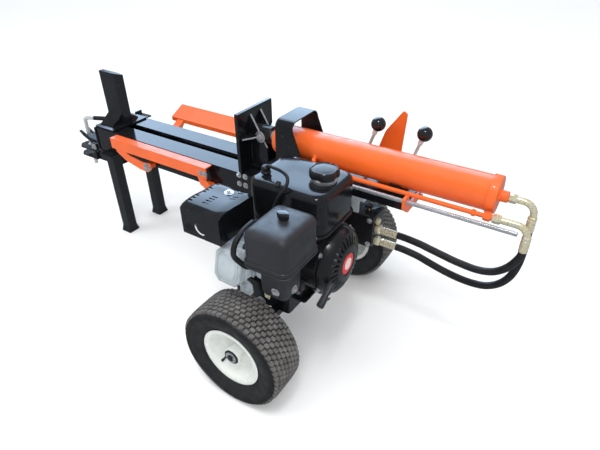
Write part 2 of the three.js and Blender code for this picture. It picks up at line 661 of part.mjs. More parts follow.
function hitchPin() {
  const arm = [[PIN_X, 0, PIN_LOW], [PIN_X, 0, 300], [PIN_X, 0, 410], [PIN_X + 3, 1, 424],
    [PIN_X + 14, 6, 430], [PIN_X + 40, 17, 431], [PIN_X + 92, 40, 431]];
  const grip = new THREE.CylinderGeometry(9, 9, 66, 14).rotateZ(-Math.PI / 2)
    .rotateZ(Math.atan2(23, 52)).translate(PIN_X + 70, 30.3, 431);
  return join(bentRod(arm, PIN_RADIUS, 10, 18), grip,
    rod('z', PIN_COLLAR_RADIUS, CLEVIS_HIGH + GAP, CLEVIS_HIGH + 7, PIN_X, 0, 16));
}
part('hitch_pin', hitchPin(), CHROME);

// Sloping keeper plate, pivoted at its rear end. Its fork straddles the pin and is
// wide enough for the pin's collar to be lifted through it.
const FORK_RUN = 1.5;
function hitchLatch() {
  const plate = prism('y', outline([
    [LATCH_X - 10, LATCH_Z + 6], [LATCH_X - 2, LATCH_Z + 11], [LATCH_X + 9, LATCH_Z + 7],
    [LATCH_X + 10, LATCH_Z - 6], [LATCH_X, LATCH_Z - 10], [LATCH_X - 18, LATCH_Z - 4],
    [LATCH_X - 82, LATCH_Z + 26], [LATCH_X - 104, LATCH_Z + 44], [LATCH_X - 92, LATCH_Z + 50],
  ]), -22, 22);
  const forkHalf = PIN_COLLAR_RADIUS + FORK_RUN;
  const fork = block(-1260, PIN_X + forkHalf, -forkHalf, forkHalf, 300, 400);
  return cut(plate, fork, rod('y', 6 + GAP, -30, 30, LATCH_X, LATCH_Z, 14));
}
part('hitch_latch', hitchLatch(), BLACK);

// ------------------------------------------------------- hydraulic tank and pump

const TANK = { x0: -150, x1: 52, y0: -305, y1: -104, z0: AXLE_TOP + 2, z1: ENGINE_BASE - GAP };
function hydraulicTank() {
  const wall = 3;
  const { x0, x1, y0, y1, z0, z1 } = TANK;
  const shell = prism('z', outline(rectangle(x0, x1, y0, y1), 12), z0, z1 - 4);
  const plate = prism('z', outline(rectangle(x0 - 8, 112, y0 - 6, y1), 10), z1 - 6, z1);
  const inside = block(x0 + wall, x1 - wall, y0 + wall, y1 - wall, z0 + wall, z1 - 8);
  const arm = block(-40, 40, y1 - 8, -58 - GAP, z0 + 10, z1 - 10);
  const filler = rod('z', 15, z1 - 12, z1 + 2, -122, -130, 16);
  return cut(join(shell, plate, arm), inside, filler);
}
part('hydraulic_tank', hydraulicTank(), BLACK);

const filler = part('tank_filler_cap', join(
  rod('z', 15 - GAP, -10, 4, 0, 0, 16),
  rod('z', 22, GAP, 22, 0, 0, 8)), BLACK);
filler.position.set(-122, -130, TANK.z1);

const engine = new THREE.Group();
engine.position.set(0, CRANK_Y, CRANK_Z);
machine.add(engine);

function pump() {
  const bell = turned('x', [
    [20, -60 - GAP], [52, -60 - GAP], [52, -68], [36, -80], [36, -104], [20, -104], [20, -60 - GAP],
  ], 24);
  const flange = prism('x', outline(rectangle(-44, 44, -52, 52), 10), -112, -102);
  const body = prism('x', outline(rectangle(-38, 38, -44, 44), 14), -176, -110);
  const ports = [
    rod('z', 14, 40, 60, -144, 0, 12),
    rod('z', 17, -66, -40, -144, 0, 12),
  ];
  const shaftBore = rod('x', 10 + GAP, -150, -90, 0, 0, 16);
  return cut(join(bell, flange, body, ...ports), shaftBore);
}
part('pump', pump(), ENGINE_BLACK, engine);

// ------------------------------------------------------------------------ engine

const FOOT = ENGINE_BASE - CRANK_Z + GAP;
function crankcase() {
  const body = prism('x', outline([
    [-84, FOOT + 10], [70, FOOT + 10], [82, -60], [82, 60], [60, 98], [-70, 98], [-84, 40],
  ], 14), -60, 96);
  const feet = block(-56, 96, -86, 78, FOOT, FOOT + 14);
  const bore = rod('x', 16 + GAP, -70, 110, 0, 0, 20);
  return cut(join(body, feet), bore);
}
part('crankcase', crankcase(), ENGINE_BLACK, engine);

// Flywheel and crankshaft in one, reaching the pump's coupling.
part('flywheel', join(
  rod('x', 16, -92, 150, 0, 0, 20),
  rod('x', 10, -140, -90, 0, 0, 16),
  turned('x', [[0, 104], [84, 104], [84, 126], [0, 134]], 24),
  ...Array.from({ length: 8 }, (_, i) =>
    block(124, 142, -2, 2, 56, 82).rotateX((i * Math.PI) / 4))), STEEL, engine);

part('fan_housing', cut(
  join(
    turned('x', [
      [22, 98], [FAN_RADIUS, 98], [FAN_RADIUS, 148], [FAN_RADIUS - 5, 148],
      [FAN_RADIUS - 5, 101], [22, 101], [22, 98],
    ], 28),
    prism('x', outline(rectangle(-80, 30, 60, 96), 12), 98, 146)),
  rod('x', FAN_RADIUS - 5, 101, 150, 0, 0, 28)), ENGINE_BLACK, engine);

const RECOIL_SLOTS = 14;
function recoilCover() {
  const dome = turned('x', [
    [0, 193], [40, 193], [72, 186], [92, 176], [FAN_RADIUS - 4, 148 + GAP],
    [FAN_RADIUS - 9, 148 + GAP], [87, 172], [70, 181.5], [0, 183],
  ], 28);
  const slots = Array.from({ length: RECOIL_SLOTS }, (_, i) =>
    block(150, 200, -4, 4, 52, 84).rotateX((i * 2 * Math.PI) / RECOIL_SLOTS));
  return cut(dome, ...slots);
}
part('recoil_cover', recoilCover(), ENGINE_BLACK, engine);

// The pull grip lies across its rope, beside the cover's upper front edge.
const handle = part('recoil_handle', join(
  prism('y', outline(rectangle(-10, 10, -9, 9), 5), -37, 37),
  rod('z', 7, -22, -4, 0, 0, 12)), PLASTIC, engine);
handle.position.set(191, -118, -25);
handle.rotation.x = THREE.MathUtils.degToRad(28.6);

// The barrel, head and valve cover lean forwards from the crankcase.
const barrel = new THREE.Group();
barrel.position.x = -34;
barrel.rotation.x = THREE.MathUtils.degToRad(-ENGINE_TILT);
engine.add(barrel);

const FIN_COUNT = 7;
const HEAD_BACK = -104;
const HEAD_FRONT = -212;
function cylinderHead() {
  const core = block(-36, 36, HEAD_FRONT, HEAD_BACK, -34, 34);
  const pitch = (HEAD_BACK - HEAD_FRONT - 22) / FIN_COUNT;
  const fins = Array.from({ length: FIN_COUNT }, (_, i) => {
    const y = HEAD_FRONT + 20 + i * pitch;
    return block(-50, 50, y, y + 4, -40, 40);
  });
  const flange = prism('y', outline(rectangle(-48, 48, -40, 40), 10), HEAD_FRONT, HEAD_FRONT + 14);
  return join(core, flange, ...fins);
}
part('cylinder_head', cylinderHead(), ALUMINIUM, barrel);

const COVER_BACK = HEAD_FRONT - GAP;
part('valve_cover', join(
  prism('y', outline([
    [-43, -42], [-26, -60], [26, -60], [43, -42], [43, 22], [26, 38], [-26, 38], [-43, 22],
  ]), COVER_BACK - 30, COVER_BACK, { bevel: 5 }),
  prism('y', outline(rectangle(-46, 46, -63, 41), 12), COVER_BACK - 5, COVER_BACK)), ALUMINIUM, barrel);

// ------------------------------------------------------- muffler and its shield

const SHIELD = { x0: -168, x1: -42, y0: -458, y1: -320, z0: 487, z1: 577 };
function mufflerShield() {
  const { x0, x1, y0, y1, z0, z1 } = SHIELD;
  const wall = 2.5;
  const crown = (inset) => {
    const shape = new THREE.Shape();
    shape.moveTo(y0 + inset, z0 + (inset ? -1 : 0));
    shape.lineTo(y0 + inset, z1 - 10 - inset);
    shape.quadraticCurveTo(y0 + 16, z1 - inset, y0 + 56, z1 - inset);
    shape.quadraticCurveTo(y1 - 24, z1 - inset, y1 - inset, z1 - 8 - inset);
    shape.lineTo(y1 - inset, z0 + (inset ? -1 : 0));
    shape.closePath();
    return shape;
  };
  const shell = cut(prism('x', crown(0), x0, x1), prism('x', crown(wall), x0 + wall, x1 - wall));
  const slotsAlong = [-150, -138, -126, -84, -72, -60].flatMap((x) => [
    block(x, x + 6, y0 + 46, y0 + 72, z1 - 20, z1 + 4)]);
  const slotsFront = [0, 1, 2, 3].map((i) =>
    block(x0 + 14 + i * 11, x0 + 20 + i * 11, y0 - 4, y0 + 6, z0 + 20, z0 + 54));
  return cut(shell, ...slotsAlong, ...slotsFront);
}
part('muffler_shield', mufflerShield(), BLACK);

part('muffler', join(
  prism('x', outline([[-446, 498], [-446, 552], [-340, 552], [-340, 498]], 22), -156, -46),
  block(-104, -76, -384, -358, 482, 500)), STEEL);

// --------------------------------------------------------------------- fuel tank

const FUEL = { x0: -76, x1: 158, y0: -306, y1: -120, z0: 504, z1: 606 };
const CAP_X = 106;
const CAP_Y = -208;
const VENT_X = -39;
const VENT_Y = -262;
function fuelTank() {
  const { x0, x1, y0, y1, z0, z1 } = FUEL;
  const shell = prism('z', outline(rectangle(x0, x1, y0, y1), 34), z0, z1, { bevel: 12 });
  const seam = prism('z', outline(rectangle(x0 - 5, x1 + 5, y0 - 5, y1 + 5), 36), z0 + 18, z0 + 22);
  const hollow = rectangle(x0 + 12, x1 - 12, y0 + 12, y1 - 12);
  const inside = prism('z', outline(hollow, 24), z0 + 5, z1 - 4, { curve: 2 });
  const neck = rod('z', 33, z1 - 8, z1 + 9, CAP_X, CAP_Y, 24);
  const mouth = rod('z', 27, z1 - 20, z1 + 10, CAP_X, CAP_Y, 24);
  const ventSeat = rod('z', 14, z1 - 6, z1 + 7, VENT_X, VENT_Y, 16);
  const feet = [-30, 78].map((x) => block(
    x - 14, x + 14, CRANK_Y - 40, CRANK_Y + 50, CRANK_Z + 98 + GAP, z0 + 3));
  return cut(join(cut(join(shell, seam, neck), inside), ventSeat, ...feet), mouth);
}
part('fuel_tank', fuelTank(), BLACK);

function fuelCap() {
  const body = turned('z', [
    [0, 0], [26, 0], [26, 10 + GAP], [39, 10 + GAP], [40, 26], [35, 33], [0, 34],
  ], 24);
  const notches = Array.from({ length: 8 }, (_, i) =>
    rod('z', 7, 8, 40, 43, 0, 6).rotateZ((i * Math.PI) / 4));
  return cut(body, ...notches);
}
part('fuel_cap', fuelCap(), BLACK).position.set(CAP_X, CAP_Y, FUEL.z1 - 1);

part('vent_hose', join(
  rod('z', 12, FUEL.z1 + 7 + GAP, FUEL.z1 + 24, VENT_X, VENT_Y, 16),
  bentRod([
    [VENT_X, VENT_Y, FUEL.z1 + 16], [-27, -266, 632], [-5, -272, 635], [19, -275, 634],
    [40, -282, 629], [52, -297, 620], [50, -312, 606], [40, -319, 588], [28, -323, 558],
    [20, -324, 530],
  ], 4.5, 6, 20)), RUBBER);

// -------------------------------------------------------------- air filter, carb

const FILTER = { x0: 42, x1: 169, y0: -483, y1: -330, split: 487, top: 590 };
const FILTER_STUD = { x: 110, y: -402 };
function filterCover() {
  const { x0, x1, y0, y1, split, top } = FILTER;
  const shell = prism('z', outline(rectangle(x0, x1, y0, y1), 18), split - 9, top, { bevel: 9 });
  const hollow = rectangle(x0 + 7, x1 - 7, y0 + 7, y1 - 7);
  const inside = prism('z', outline(hollow, 12), split - 12, top - 5, { curve: 2 });
  const below = block(x0 - 5, x1 + 5, y0 - 5, y1 + 5, split - 20, split + GAP);
  const boss = rod('z', 12, top - 8, top + 3, FILTER_STUD.x, FILTER_STUD.y, 16);
  const hole = rod('z', 4 + GAP, top - 30, top + 10, FILTER_STUD.x, FILTER_STUD.y, 12);
  return cut(join(cut(shell, inside, below), boss), hole);
}
part('air_filter_cover', filterCover(), PLASTIC);

function filterBase() {
  const { x0, x1, y0, y1, split, top } = FILTER;
  const tray = prism('z', outline(rectangle(x0 - 2, x1 + 2, y0 - 2, y1 + 2), 18), split - 9, split);
  const box = prism('z', outline([
    [66, -450], [142, -450], [142, -372], [66, -372],
  ], 14), 380, split - 7);
  const stem = rod('z', 4, split - 10, top + 9, FILTER_STUD.x, FILTER_STUD.y, 12);
  return join(tray, box, stem);
}
part('air_filter_base', filterBase(), PLASTIC);

part('filter_knob', cut(
  join(
    rod('z', 11, 3 + GAP, 21, 0, 0, 16),
    block(-16, 16, -4, 4, 7, 19)),
  rod('z', 4 + GAP, 0, 12, 0, 0, 12)), PLASTIC)
  .position.set(FILTER_STUD.x, FILTER_STUD.y, FILTER.top);

// Small controls: choke on the carburettor, throttle above it, dipstick and the
// stop switch beside the recoil starter.
function smallLever(length) {
  return join(
    rod('y', 7, 0, 6, 0, 0, 12),
    block(-3, 3, 1, 4, 0, length),
    rod('y', 6, -3, 6, 0, length, 10));
}
part('choke_lever', smallLever(26), STEEL).position.set(46, -432 + GAP, 440);
const throttle = part('throttle_lever', smallLever(44), STEEL);
throttle.position.set(124, -314 + GAP, 452);
throttle.rotation.y = THREE.MathUtils.degToRad(20);

part('oil_dipstick', join(
  rod('y', 10, -6, 0, 0, 0, 12),
  rod('y', 15, -20, -5, 0, 0, 8)), PLASTIC).position.set(66, CRANK_Y - 84 - GAP, 296);

part('stop_switch', join(
  block(-10, 10, -9, 9, -14, 14),
  rod('y', 6, -13, -8, 0, 0, 12)), PLASTIC).position.set(108, CRANK_Y - 114, 336);

// ---------------------------------------------------- origin at the bottom centre

machine.updateMatrixWorld(true);
const extent = new THREE.Box3();
for (const piece of machine.children.filter((child) => !hoses.includes(child))) {
  extent.expandByObject(piece, true);
}
const centre = extent.getCenter(new THREE.Vector3());
machine.position.set(-centre.x, -centre.y, -extent.min.z);

export default machine;
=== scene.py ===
"""Looks of a towable petrol log splitter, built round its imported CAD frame.

Shapes are drawn in millimetres in the machine's own frame: x = 0 is the wheel axle with
+X towards the cylinder's rear port, y = 0 is the beam's middle plane with +Y away from the
engine, and z = 0 is the ground. place() turns them into the row frame's metres.
"""
import json
import math

import bmesh
import bpy
from mathutils import Matrix, Vector

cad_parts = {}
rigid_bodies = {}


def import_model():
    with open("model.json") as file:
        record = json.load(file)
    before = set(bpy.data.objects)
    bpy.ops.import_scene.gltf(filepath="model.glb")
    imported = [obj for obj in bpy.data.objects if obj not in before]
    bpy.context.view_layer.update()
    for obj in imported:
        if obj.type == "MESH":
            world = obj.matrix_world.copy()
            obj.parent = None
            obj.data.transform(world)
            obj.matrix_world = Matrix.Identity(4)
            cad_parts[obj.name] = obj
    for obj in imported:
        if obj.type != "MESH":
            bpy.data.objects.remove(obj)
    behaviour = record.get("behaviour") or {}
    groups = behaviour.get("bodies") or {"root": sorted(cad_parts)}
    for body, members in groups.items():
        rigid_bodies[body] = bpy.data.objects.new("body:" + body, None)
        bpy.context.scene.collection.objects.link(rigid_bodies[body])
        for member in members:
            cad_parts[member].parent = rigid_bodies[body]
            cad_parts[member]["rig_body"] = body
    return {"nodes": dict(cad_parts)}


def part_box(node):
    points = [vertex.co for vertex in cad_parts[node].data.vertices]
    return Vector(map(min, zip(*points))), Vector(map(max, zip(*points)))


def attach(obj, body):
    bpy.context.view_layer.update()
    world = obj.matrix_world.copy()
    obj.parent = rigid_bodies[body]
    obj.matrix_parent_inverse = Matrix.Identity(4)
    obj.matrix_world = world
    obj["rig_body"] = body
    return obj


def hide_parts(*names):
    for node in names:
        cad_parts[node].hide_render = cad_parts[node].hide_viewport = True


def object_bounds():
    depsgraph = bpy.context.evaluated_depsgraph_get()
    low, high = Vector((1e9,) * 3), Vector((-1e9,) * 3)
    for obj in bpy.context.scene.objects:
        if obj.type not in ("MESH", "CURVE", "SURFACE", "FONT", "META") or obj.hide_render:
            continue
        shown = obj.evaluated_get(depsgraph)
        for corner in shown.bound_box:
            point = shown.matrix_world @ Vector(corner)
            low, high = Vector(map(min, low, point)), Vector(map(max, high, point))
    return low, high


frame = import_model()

CAD_LOW, CAD_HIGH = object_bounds()
MM = 0.001
TAU = math.tau


def middle(node):
    low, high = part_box(node)
    return (low + high) / 2


ORIGIN = Vector((middle("rim_near").x, middle("cylinder_barrel").y, 0))


def place(point):
    return ORIGIN + Vector(point) * MM


def limits(node):
    """Lowest and highest corner of a CAD node, in the machine's millimetres."""
    low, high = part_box(node)
    return (low - ORIGIN) / MM, (high - ORIGIN) / MM


# --------------------------------------------------------------------------- camera

CAMERA_AT = (655.05, -1169.78, 1211.49)
CAMERA_AZIMUTH = 33.008
CAMERA_ELEVATION = 34.09
CAMERA_ROLL = -0.58
CAMERA_LENS = 29.32


def make_camera():
    a, e, r = (math.radians(v) for v in (CAMERA_AZIMUTH, CAMERA_ELEVATION, CAMERA_ROLL))
    back = Vector((math.sin(a) * math.cos(e), -math.cos(a) * math.cos(e), math.sin(e)))
    level = Vector((math.cos(a), math.sin(a), 0))
    upright = back.cross(level)
    right = math.cos(r) * level + math.sin(r) * upright
    up = -math.sin(r) * level + math.cos(r) * upright
    camera = bpy.data.objects.new("camera", bpy.data.cameras.new("camera"))
    camera.data.sensor_width = 36
    camera.data.lens = CAMERA_LENS
    turn = Matrix((right, up, back)).transposed().to_4x4()
    camera.matrix_world = Matrix.Translation(place(CAMERA_AT)) @ turn
    bpy.context.scene.collection.objects.link(camera)
    bpy.context.scene.camera = camera


make_camera()

# ------------------------------------------------------------------------ materials


class Nodes:
    """A short way to add and link shader nodes in one material."""

    def __init__(self, name):
        self.material = bpy.data.materials.new(name)
        self.material.use_nodes = True
        self.tree = self.material.node_tree
        self.shader = self.tree.nodes["Principled BSDF"]
        self.object = self.add("ShaderNodeTexCoord").outputs["Object"]

    def add(self, kind, inputs=None, **settings):
        node = self.tree.nodes.new(kind)
        for key, value in settings.items():
            setattr(node, key, value)
        for key, value in (inputs or {}).items():
            if isinstance(value, bpy.types.NodeSocket):
                self.tree.links.new(value, node.inputs[key])
            else:
                node.inputs[key].default_value = value
        return node

    def noise(self, scale, detail=4.0, stretch=None):
        vector = self.object
        if stretch:
            vector = self.add("ShaderNodeMapping", {"Vector": vector, "Scale": stretch}).outputs[0]
        return self.add(
            "ShaderNodeTexNoise", {"Vector": vector, "Scale": scale, "Detail": detail}).outputs["Fac"]

    def spread(self, value, from_low, from_high, to_low, to_high):
        return self.add("ShaderNodeMapRange", {
            "Value": value, "From Min": from_low, "From Max": from_high,
            "To Min": to_low, "To Max": to_high}).outputs[0]

    def times(self, a, b):
        return self.add("ShaderNodeMath", {0: a, 1: b}, operation="MULTIPLY").outputs[0]

    def mix(self, factor, a, b):
        node = self.add("ShaderNodeMix", data_type="RGBA")
        for index, value in ((0, factor), (6, a), (7, b)):
            if isinstance(value, bpy.types.NodeSocket):
                self.tree.links.new(value, node.inputs[index])
            else:
                node.inputs[index].default_value = value
        return node.outputs[2]

    def set(self, **sockets):
        for name, value in sockets.items():
            socket = self.shader.inputs[name.replace("_", " ")]
            if isinstance(value, bpy.types.NodeSocket):
                self.tree.links.new(value, socket)
            else:
                socket.default_value = value

    def bump(self, height, strength, distance):
        self.set(Normal=self.add("ShaderNodeBump", {
            "Height": height, "Strength": strength, "Distance": distance}).outputs[0])


def shade(colour, factor):
    return tuple(min(1.0, c * factor) for c in colour) + (1.0,)


DUST = (0.42, 0.42, 0.43, 1)


def surface(name, colour, rough, metal=0.0, coat=0.0, shine=0.5, mottle=0.12, mottle_scale=9.0,
            grain=0.1, grain_scale=420.0, stretch=None, worn=None, dust=0.0):
    """Mottled colour, uneven gloss, fine relief, small chips and dust on what faces up."""
    n = Nodes(name)
    patches = n.noise(mottle_scale, 6.0, stretch)
    colour_out = n.mix(
        n.spread(patches, 0.3, 0.7, 0, 1), shade(colour, 1 - mottle), shade(colour, 1 + mottle))
    smears = n.noise(38.0, 8.0, stretch)
    rough_out = n.spread(smears, 0.3, 0.7, rough * 0.75, min(1.0, rough * 1.3))
    if dust:
        facing = n.add("ShaderNodeSeparateXYZ", {
            0: n.add("ShaderNodeNewGeometry").outputs["Normal"]}).outputs["Z"]
        settled = n.times(
            n.spread(facing, 0.4, 1.0, 0, dust), n.spread(n.noise(24.0, 7.0), 0.4, 0.7, 0, 1))
        colour_out = n.mix(settled, colour_out, DUST)
        rough_out = n.add("ShaderNodeMath", {0: rough_out, 1: n.times(settled, 0.5)}).outputs[0]
    if worn:
        places = n.spread(n.noise(14.0, 2.0), 0.55, 0.62, 0, 1)
        chips = n.times(places, n.spread(n.noise(150.0, 9.0), 0.66, 0.69, 0, 0.8))
        colour_out = n.mix(chips, colour_out, (*worn, 1))
    n.set(Base_Color=colour_out, Roughness=rough_out, Metallic=metal, Coat_Weight=coat,
          Coat_Roughness=0.06, Specular_IOR_Level=shine)
    n.bump(n.noise(grain_scale, 3.0, stretch), grain, 0.0006)
    return n.material


def hose_cover():
    """Wrapped hose cover: fine ridges left by the curing cloth."""
    n = Nodes("hose_rubber")
    wraps = n.add("ShaderNodeTexWave", {
        "Vector": n.object, "Scale": 190.0, "Distortion": 1.2, "Detail": 2.0},
        bands_direction="DIAGONAL").outputs["Fac"]
    scuffs = n.spread(n.noise(60.0, 8.0), 0.45, 0.75, 0, 1)
    n.set(Base_Color=n.mix(scuffs, (0.007, 0.007, 0.008, 1), (0.018, 0.018, 0.020, 1)),
          Roughness=n.spread(scuffs, 0, 1, 0.42, 0.66))
    n.bump(wraps, 0.25, 0.0005)
    return n.material


def zinc_plate():
    """Yellow passivated zinc, drifting between straw, pink and grey."""
    n = Nodes("zinc")
    drift = n.spread(n.noise(55.0, 5.0), 0.35, 0.65, 0, 1)
    straw = n.mix(drift, (0.88, 0.78, 0.48, 1), (0.86, 0.82, 0.66, 1))
    blush = n.spread(n.noise(40.0, 3.0), 0.45, 0.75, 0, 0.3)
    n.set(Base_Color=n.mix(blush, straw, (0.84, 0.68, 0.58, 1)), Metallic=0.7,
          Roughness=n.spread(n.noise(210.0, 4.0), 0.3, 0.7, 0.22, 0.40))
    n.bump(n.noise(520.0, 3.0), 0.12, 0.0004)
    return n.material


BARE = (0.07, 0.07, 0.072)
ORANGE = surface("orange_paint", (0.80, 0.125, 0.018), 0.40, coat=0.35, mottle=0.05, grain=0.12,
                 grain_scale=260.0, worn=(0.30, 0.10, 0.04), dust=0.04)
BLACK = surface("black_paint", (0.006, 0.0065, 0.008), 0.14, shine=0.45, mottle=0.25, grain=0.05,
                grain_scale=160.0, worn=BARE, dust=0.015)
ENGINE_BLACK = surface("engine_black", (0.008, 0.008, 0.009), 0.22, shine=0.45, mottle=0.3,
                       grain=0.2, grain_scale=420.0, dust=0.03)
PLASTIC = surface("black_plastic", (0.017, 0.018, 0.022), 0.38, shine=0.6, mottle=0.15, grain=0.35,
                  grain_scale=1500.0, dust=0.04)
TREAD = surface("tread_rubber", (0.120, 0.114, 0.110), 0.80, mottle=0.35, mottle_scale=26.0,
                grain=0.5, grain_scale=700.0, dust=0.10)
TYRE_WALL = surface("tyre_wall_rubber", (0.013, 0.013, 0.014), 0.55, mottle=0.3, mottle_scale=18.0,
                    grain=0.5, grain_scale=700.0, dust=0.03)
CREAM = surface("rim_paint", (0.66, 0.68, 0.65), 0.26, coat=0.2, mottle=0.05, grain=0.2,
                grain_scale=300.0, dust=0.06)
STEEL = surface("steel", (0.62, 0.63, 0.65), 0.28, metal=0.8, mottle=0.14, grain=0.3,
                grain_scale=130.0, stretch=(1, 9, 9))
CHROME = surface("chrome", (0.90, 0.91, 0.93), 0.16, metal=0.7, mottle=0.04, grain=0.05,
                 grain_scale=200.0, stretch=(1, 7, 7))
ALUMINIUM = surface("aluminium", (0.60, 0.66, 0.70), 0.40, metal=0.5, mottle=0.14,
                    mottle_scale=30.0, grain=0.5, grain_scale=420.0)
BRIGHT_ROD = surface("bright_rod", (0.80, 0.81, 0.83), 0.30, metal=0.35, mottle=0.05, grain=0.2,
                     grain_scale=200.0, stretch=(1, 7, 7))
KNOB = surface("knob_black", (0.006, 0.006, 0.007), 0.08, coat=0.6, mottle=0.2, grain=0.02)
RED = surface("signal_red", (0.62, 0.035, 0.03), 0.34, mottle=0.1, grain=0.15)
WHITE = surface("signal_white", (0.78, 0.62, 0.60), 0.36, mottle=0.05, grain=0.15)
RUBBER = hose_cover()
ZINC = zinc_plate()

# --------------------------------------------------------------------------- shapes


class Form:
    """Points in the machine's millimetres, and faces, gathered from simple shapes."""

    def __init__(self):
        self.points = []
        self.faces = []

    def add(self, points, faces, turn=None):
        start = len(self.points)
        self.points += [turn @ Vector(p) if turn else Vector(p) for p in points]
        self.faces += [[start + i for i in face] for face in faces]
        return self

    def join(self, other):
        return self.add(other.points, other.faces)


def pose(origin, axis):
    """Matrix that takes local +Z to the axis, and the local origin to the origin."""
    turn = Vector(axis).to_track_quat("Z", "Y").to_matrix().to_4x4()
    return Matrix.Translation(Vector(origin)) @ turn


X, Y, Z = (1, 0, 0), (0, 1, 0), (0, 0, 1)
FRONT, NEAR, DOWN = (-1, 0, 0), (0, -1, 0), (0, 0, -1)


def shell(points, count, turn=None, closed=False):
    """Skin over rings of count points each. closed joins the last ring to the first one."""
    rings = len(points) // count
    faces = []
    for j in range(rings if closed else rings - 1):
        a, b = j * count, (j + 1) % rings * count
        faces += [(a + k, a + (k + 1) % count, b + (k + 1) % count, b + k) for k in range(count)]
    if not closed:
        faces.append(tuple(range(count))[::-1])
        faces.append(tuple(len(points) - count + k for k in range(count)))
    return Form().add(points, faces, turn)


def lathe(profile, origin, axis=Z, segments=64, closed=False, swell=None):
    """A turned form; profile points are (radius, distance). swell scales the radius by angle."""
    points = []
    for radius, along in profile:
        for k in range(segments):
            angle = TAU * k / segments
            r = radius * (swell(angle, radius, along) if swell else 1)
            points.append((r * math.cos(angle), r * math.sin(angle), along))
    return shell(points, segments, pose(origin, axis), closed)


def smooth_path(points, steps=6, tension=0.5):
    """The curve that the CAD's bent rods and hoses follow, as a list of close points."""
    knots = [Vector(p) for p in points]
    knots = [2 * knots[0] - knots[1]] + knots + [2 * knots[-1] - knots[-2]]
    path = []
    for a, b, c, d in zip(knots, knots[1:], knots[2:], knots[3:]):
        out, into = (c - a) * tension, (d - b) * tension
        for k in range(steps):
            t = k / steps
            path.append((2 * t ** 3 - 3 * t ** 2 + 1) * b + (t ** 3 - 2 * t ** 2 + t) * out
                        + (3 * t ** 2 - 2 * t ** 3) * c + (t ** 3 - t ** 2) * into)
    return path + [knots[-2]]


def tube(path, radius, sides=16, ripple=None):
    """A round bar along a path. ripple scales the radius by the distance along it."""
    path = [Vector(p) for p in path]
    points = []
    side = None
    travelled = 0.0
    for i, point in enumerate(path):
        tangent = (path[min(i + 1, len(path) - 1)] - path[max(i - 1, 0)]).normalized()
        if side is None:
            side = tangent.orthogonal().normalized()
        side = (side - tangent * side.dot(tangent)).normalized()
        other = tangent.cross(side)
        if i:
            travelled += (point - path[i - 1]).length
        r = radius * (ripple(travelled) if ripple else 1)
        for k in range(sides):
            angle = TAU * k / sides
            points.append(point + r * (math.cos(angle) * side + math.sin(angle) * other))
    return shell(points, sides)


def prism(outline, depth, turn=None):
    """A flat outline in local XY, drawn out from z = 0 to z = depth."""
    points = [(x, y, z) for z in (0, depth) for x, y in outline]
    return shell(points, len(outline), turn)


def box(x0, x1, y0, y1, z0, z1, turn=None):
    corners = [(x0, y0), (x1, y0), (x1, y1), (x0, y1)]
    lift = Matrix.Translation((0, 0, z0))
    return prism(corners, z1 - z0, turn @ lift if turn else lift)


def rounded(x0, x1, y0, y1, radius, steps=6):
    """A rectangle with round corners, as a ring of points."""
    ring = []
    corners = ((x1 - radius, y1 - radius), (x0 + radius, y1 - radius),
               (x0 + radius, y0 + radius), (x1 - radius, y0 + radius))
    for quarter, (cx, cy) in enumerate(corners):
        for k in range(steps + 1):
            angle = (quarter + k / steps) * math.pi / 2
            ring.append((cx + radius * math.cos(angle), cy + radius * math.sin(angle)))
    return ring


def loft(rings):
    """Joins rings of points that all have the same count, and closes both ends."""
    return shell([p for ring in rings for p in ring], len(rings[0]))


def stacked(x0, x1, y0, y1, radius, levels, lift=None):
    """Round-cornered sections stacked in z: levels are (inset, z). lift moves a point's z."""
    rings = []
    for inset, z in levels:
        corner = max(2.0, radius - inset * 0.55)
        ring = rounded(x0 + inset, x1 - inset, y0 + inset, y1 - inset, corner)
        rings.append([(x, y, z + (lift(x, y, z) if lift else 0)) for x, y in ring])
    return loft(rings)


def bolt(origin, axis, across=8.0, height=5.0, washer=True):
    """A hexagon head with a chamfered top, on a washer."""
    form = Form()
    base = 0.0
    if washer:
        form.join(lathe([(across * 0.45, 0), (across * 0.98, 0), (across, 0.4),
                         (across * 0.98, 1.4), (across * 0.45, 1.4)], origin, axis, 24))
        base = 1.2
    corner = across / math.sqrt(3)
    rows = [(corner, base), (corner, base + height * 0.8), (corner * 0.86, base + height)]
    return form.join(lathe(rows, origin, axis, 6))


def bolts_at(places, axis, across, height):
    form = Form()
    for at in places:
        form.join(bolt(at, axis, across, height))
    return form


def nut(origin, axis, across, length):
    corner = across / math.sqrt(3)
    rows = [(corner * 0.88, 0), (corner, length * 0.12),
            (corner, length * 0.88), (corner * 0.88, length)]
    return lathe(rows, origin, axis, 6)


def weld_ripple(travelled):
    """Scale of a weld's radius, some way along it."""
    return 0.9 + 0.13 * abs(math.sin(travelled * 0.75))


def bead(points, radius):
    """A weld: a low ridge with a ripple every few millimetres."""
    path = []
    for a, b in zip(points, points[1:]):
        a, b = Vector(a), Vector(b)
        steps = max(2, int((b - a).length / 2.2))
        path += [a.lerp(b, k / steps) for k in range(steps)]
    path.append(Vector(points[-1]))
    return tube(path, radius, 8, weld_ripple)


# --------------------------------------------------------------------------- pieces

BEVEL_ANGLE = 32
SMOOTH_ANGLE = 38


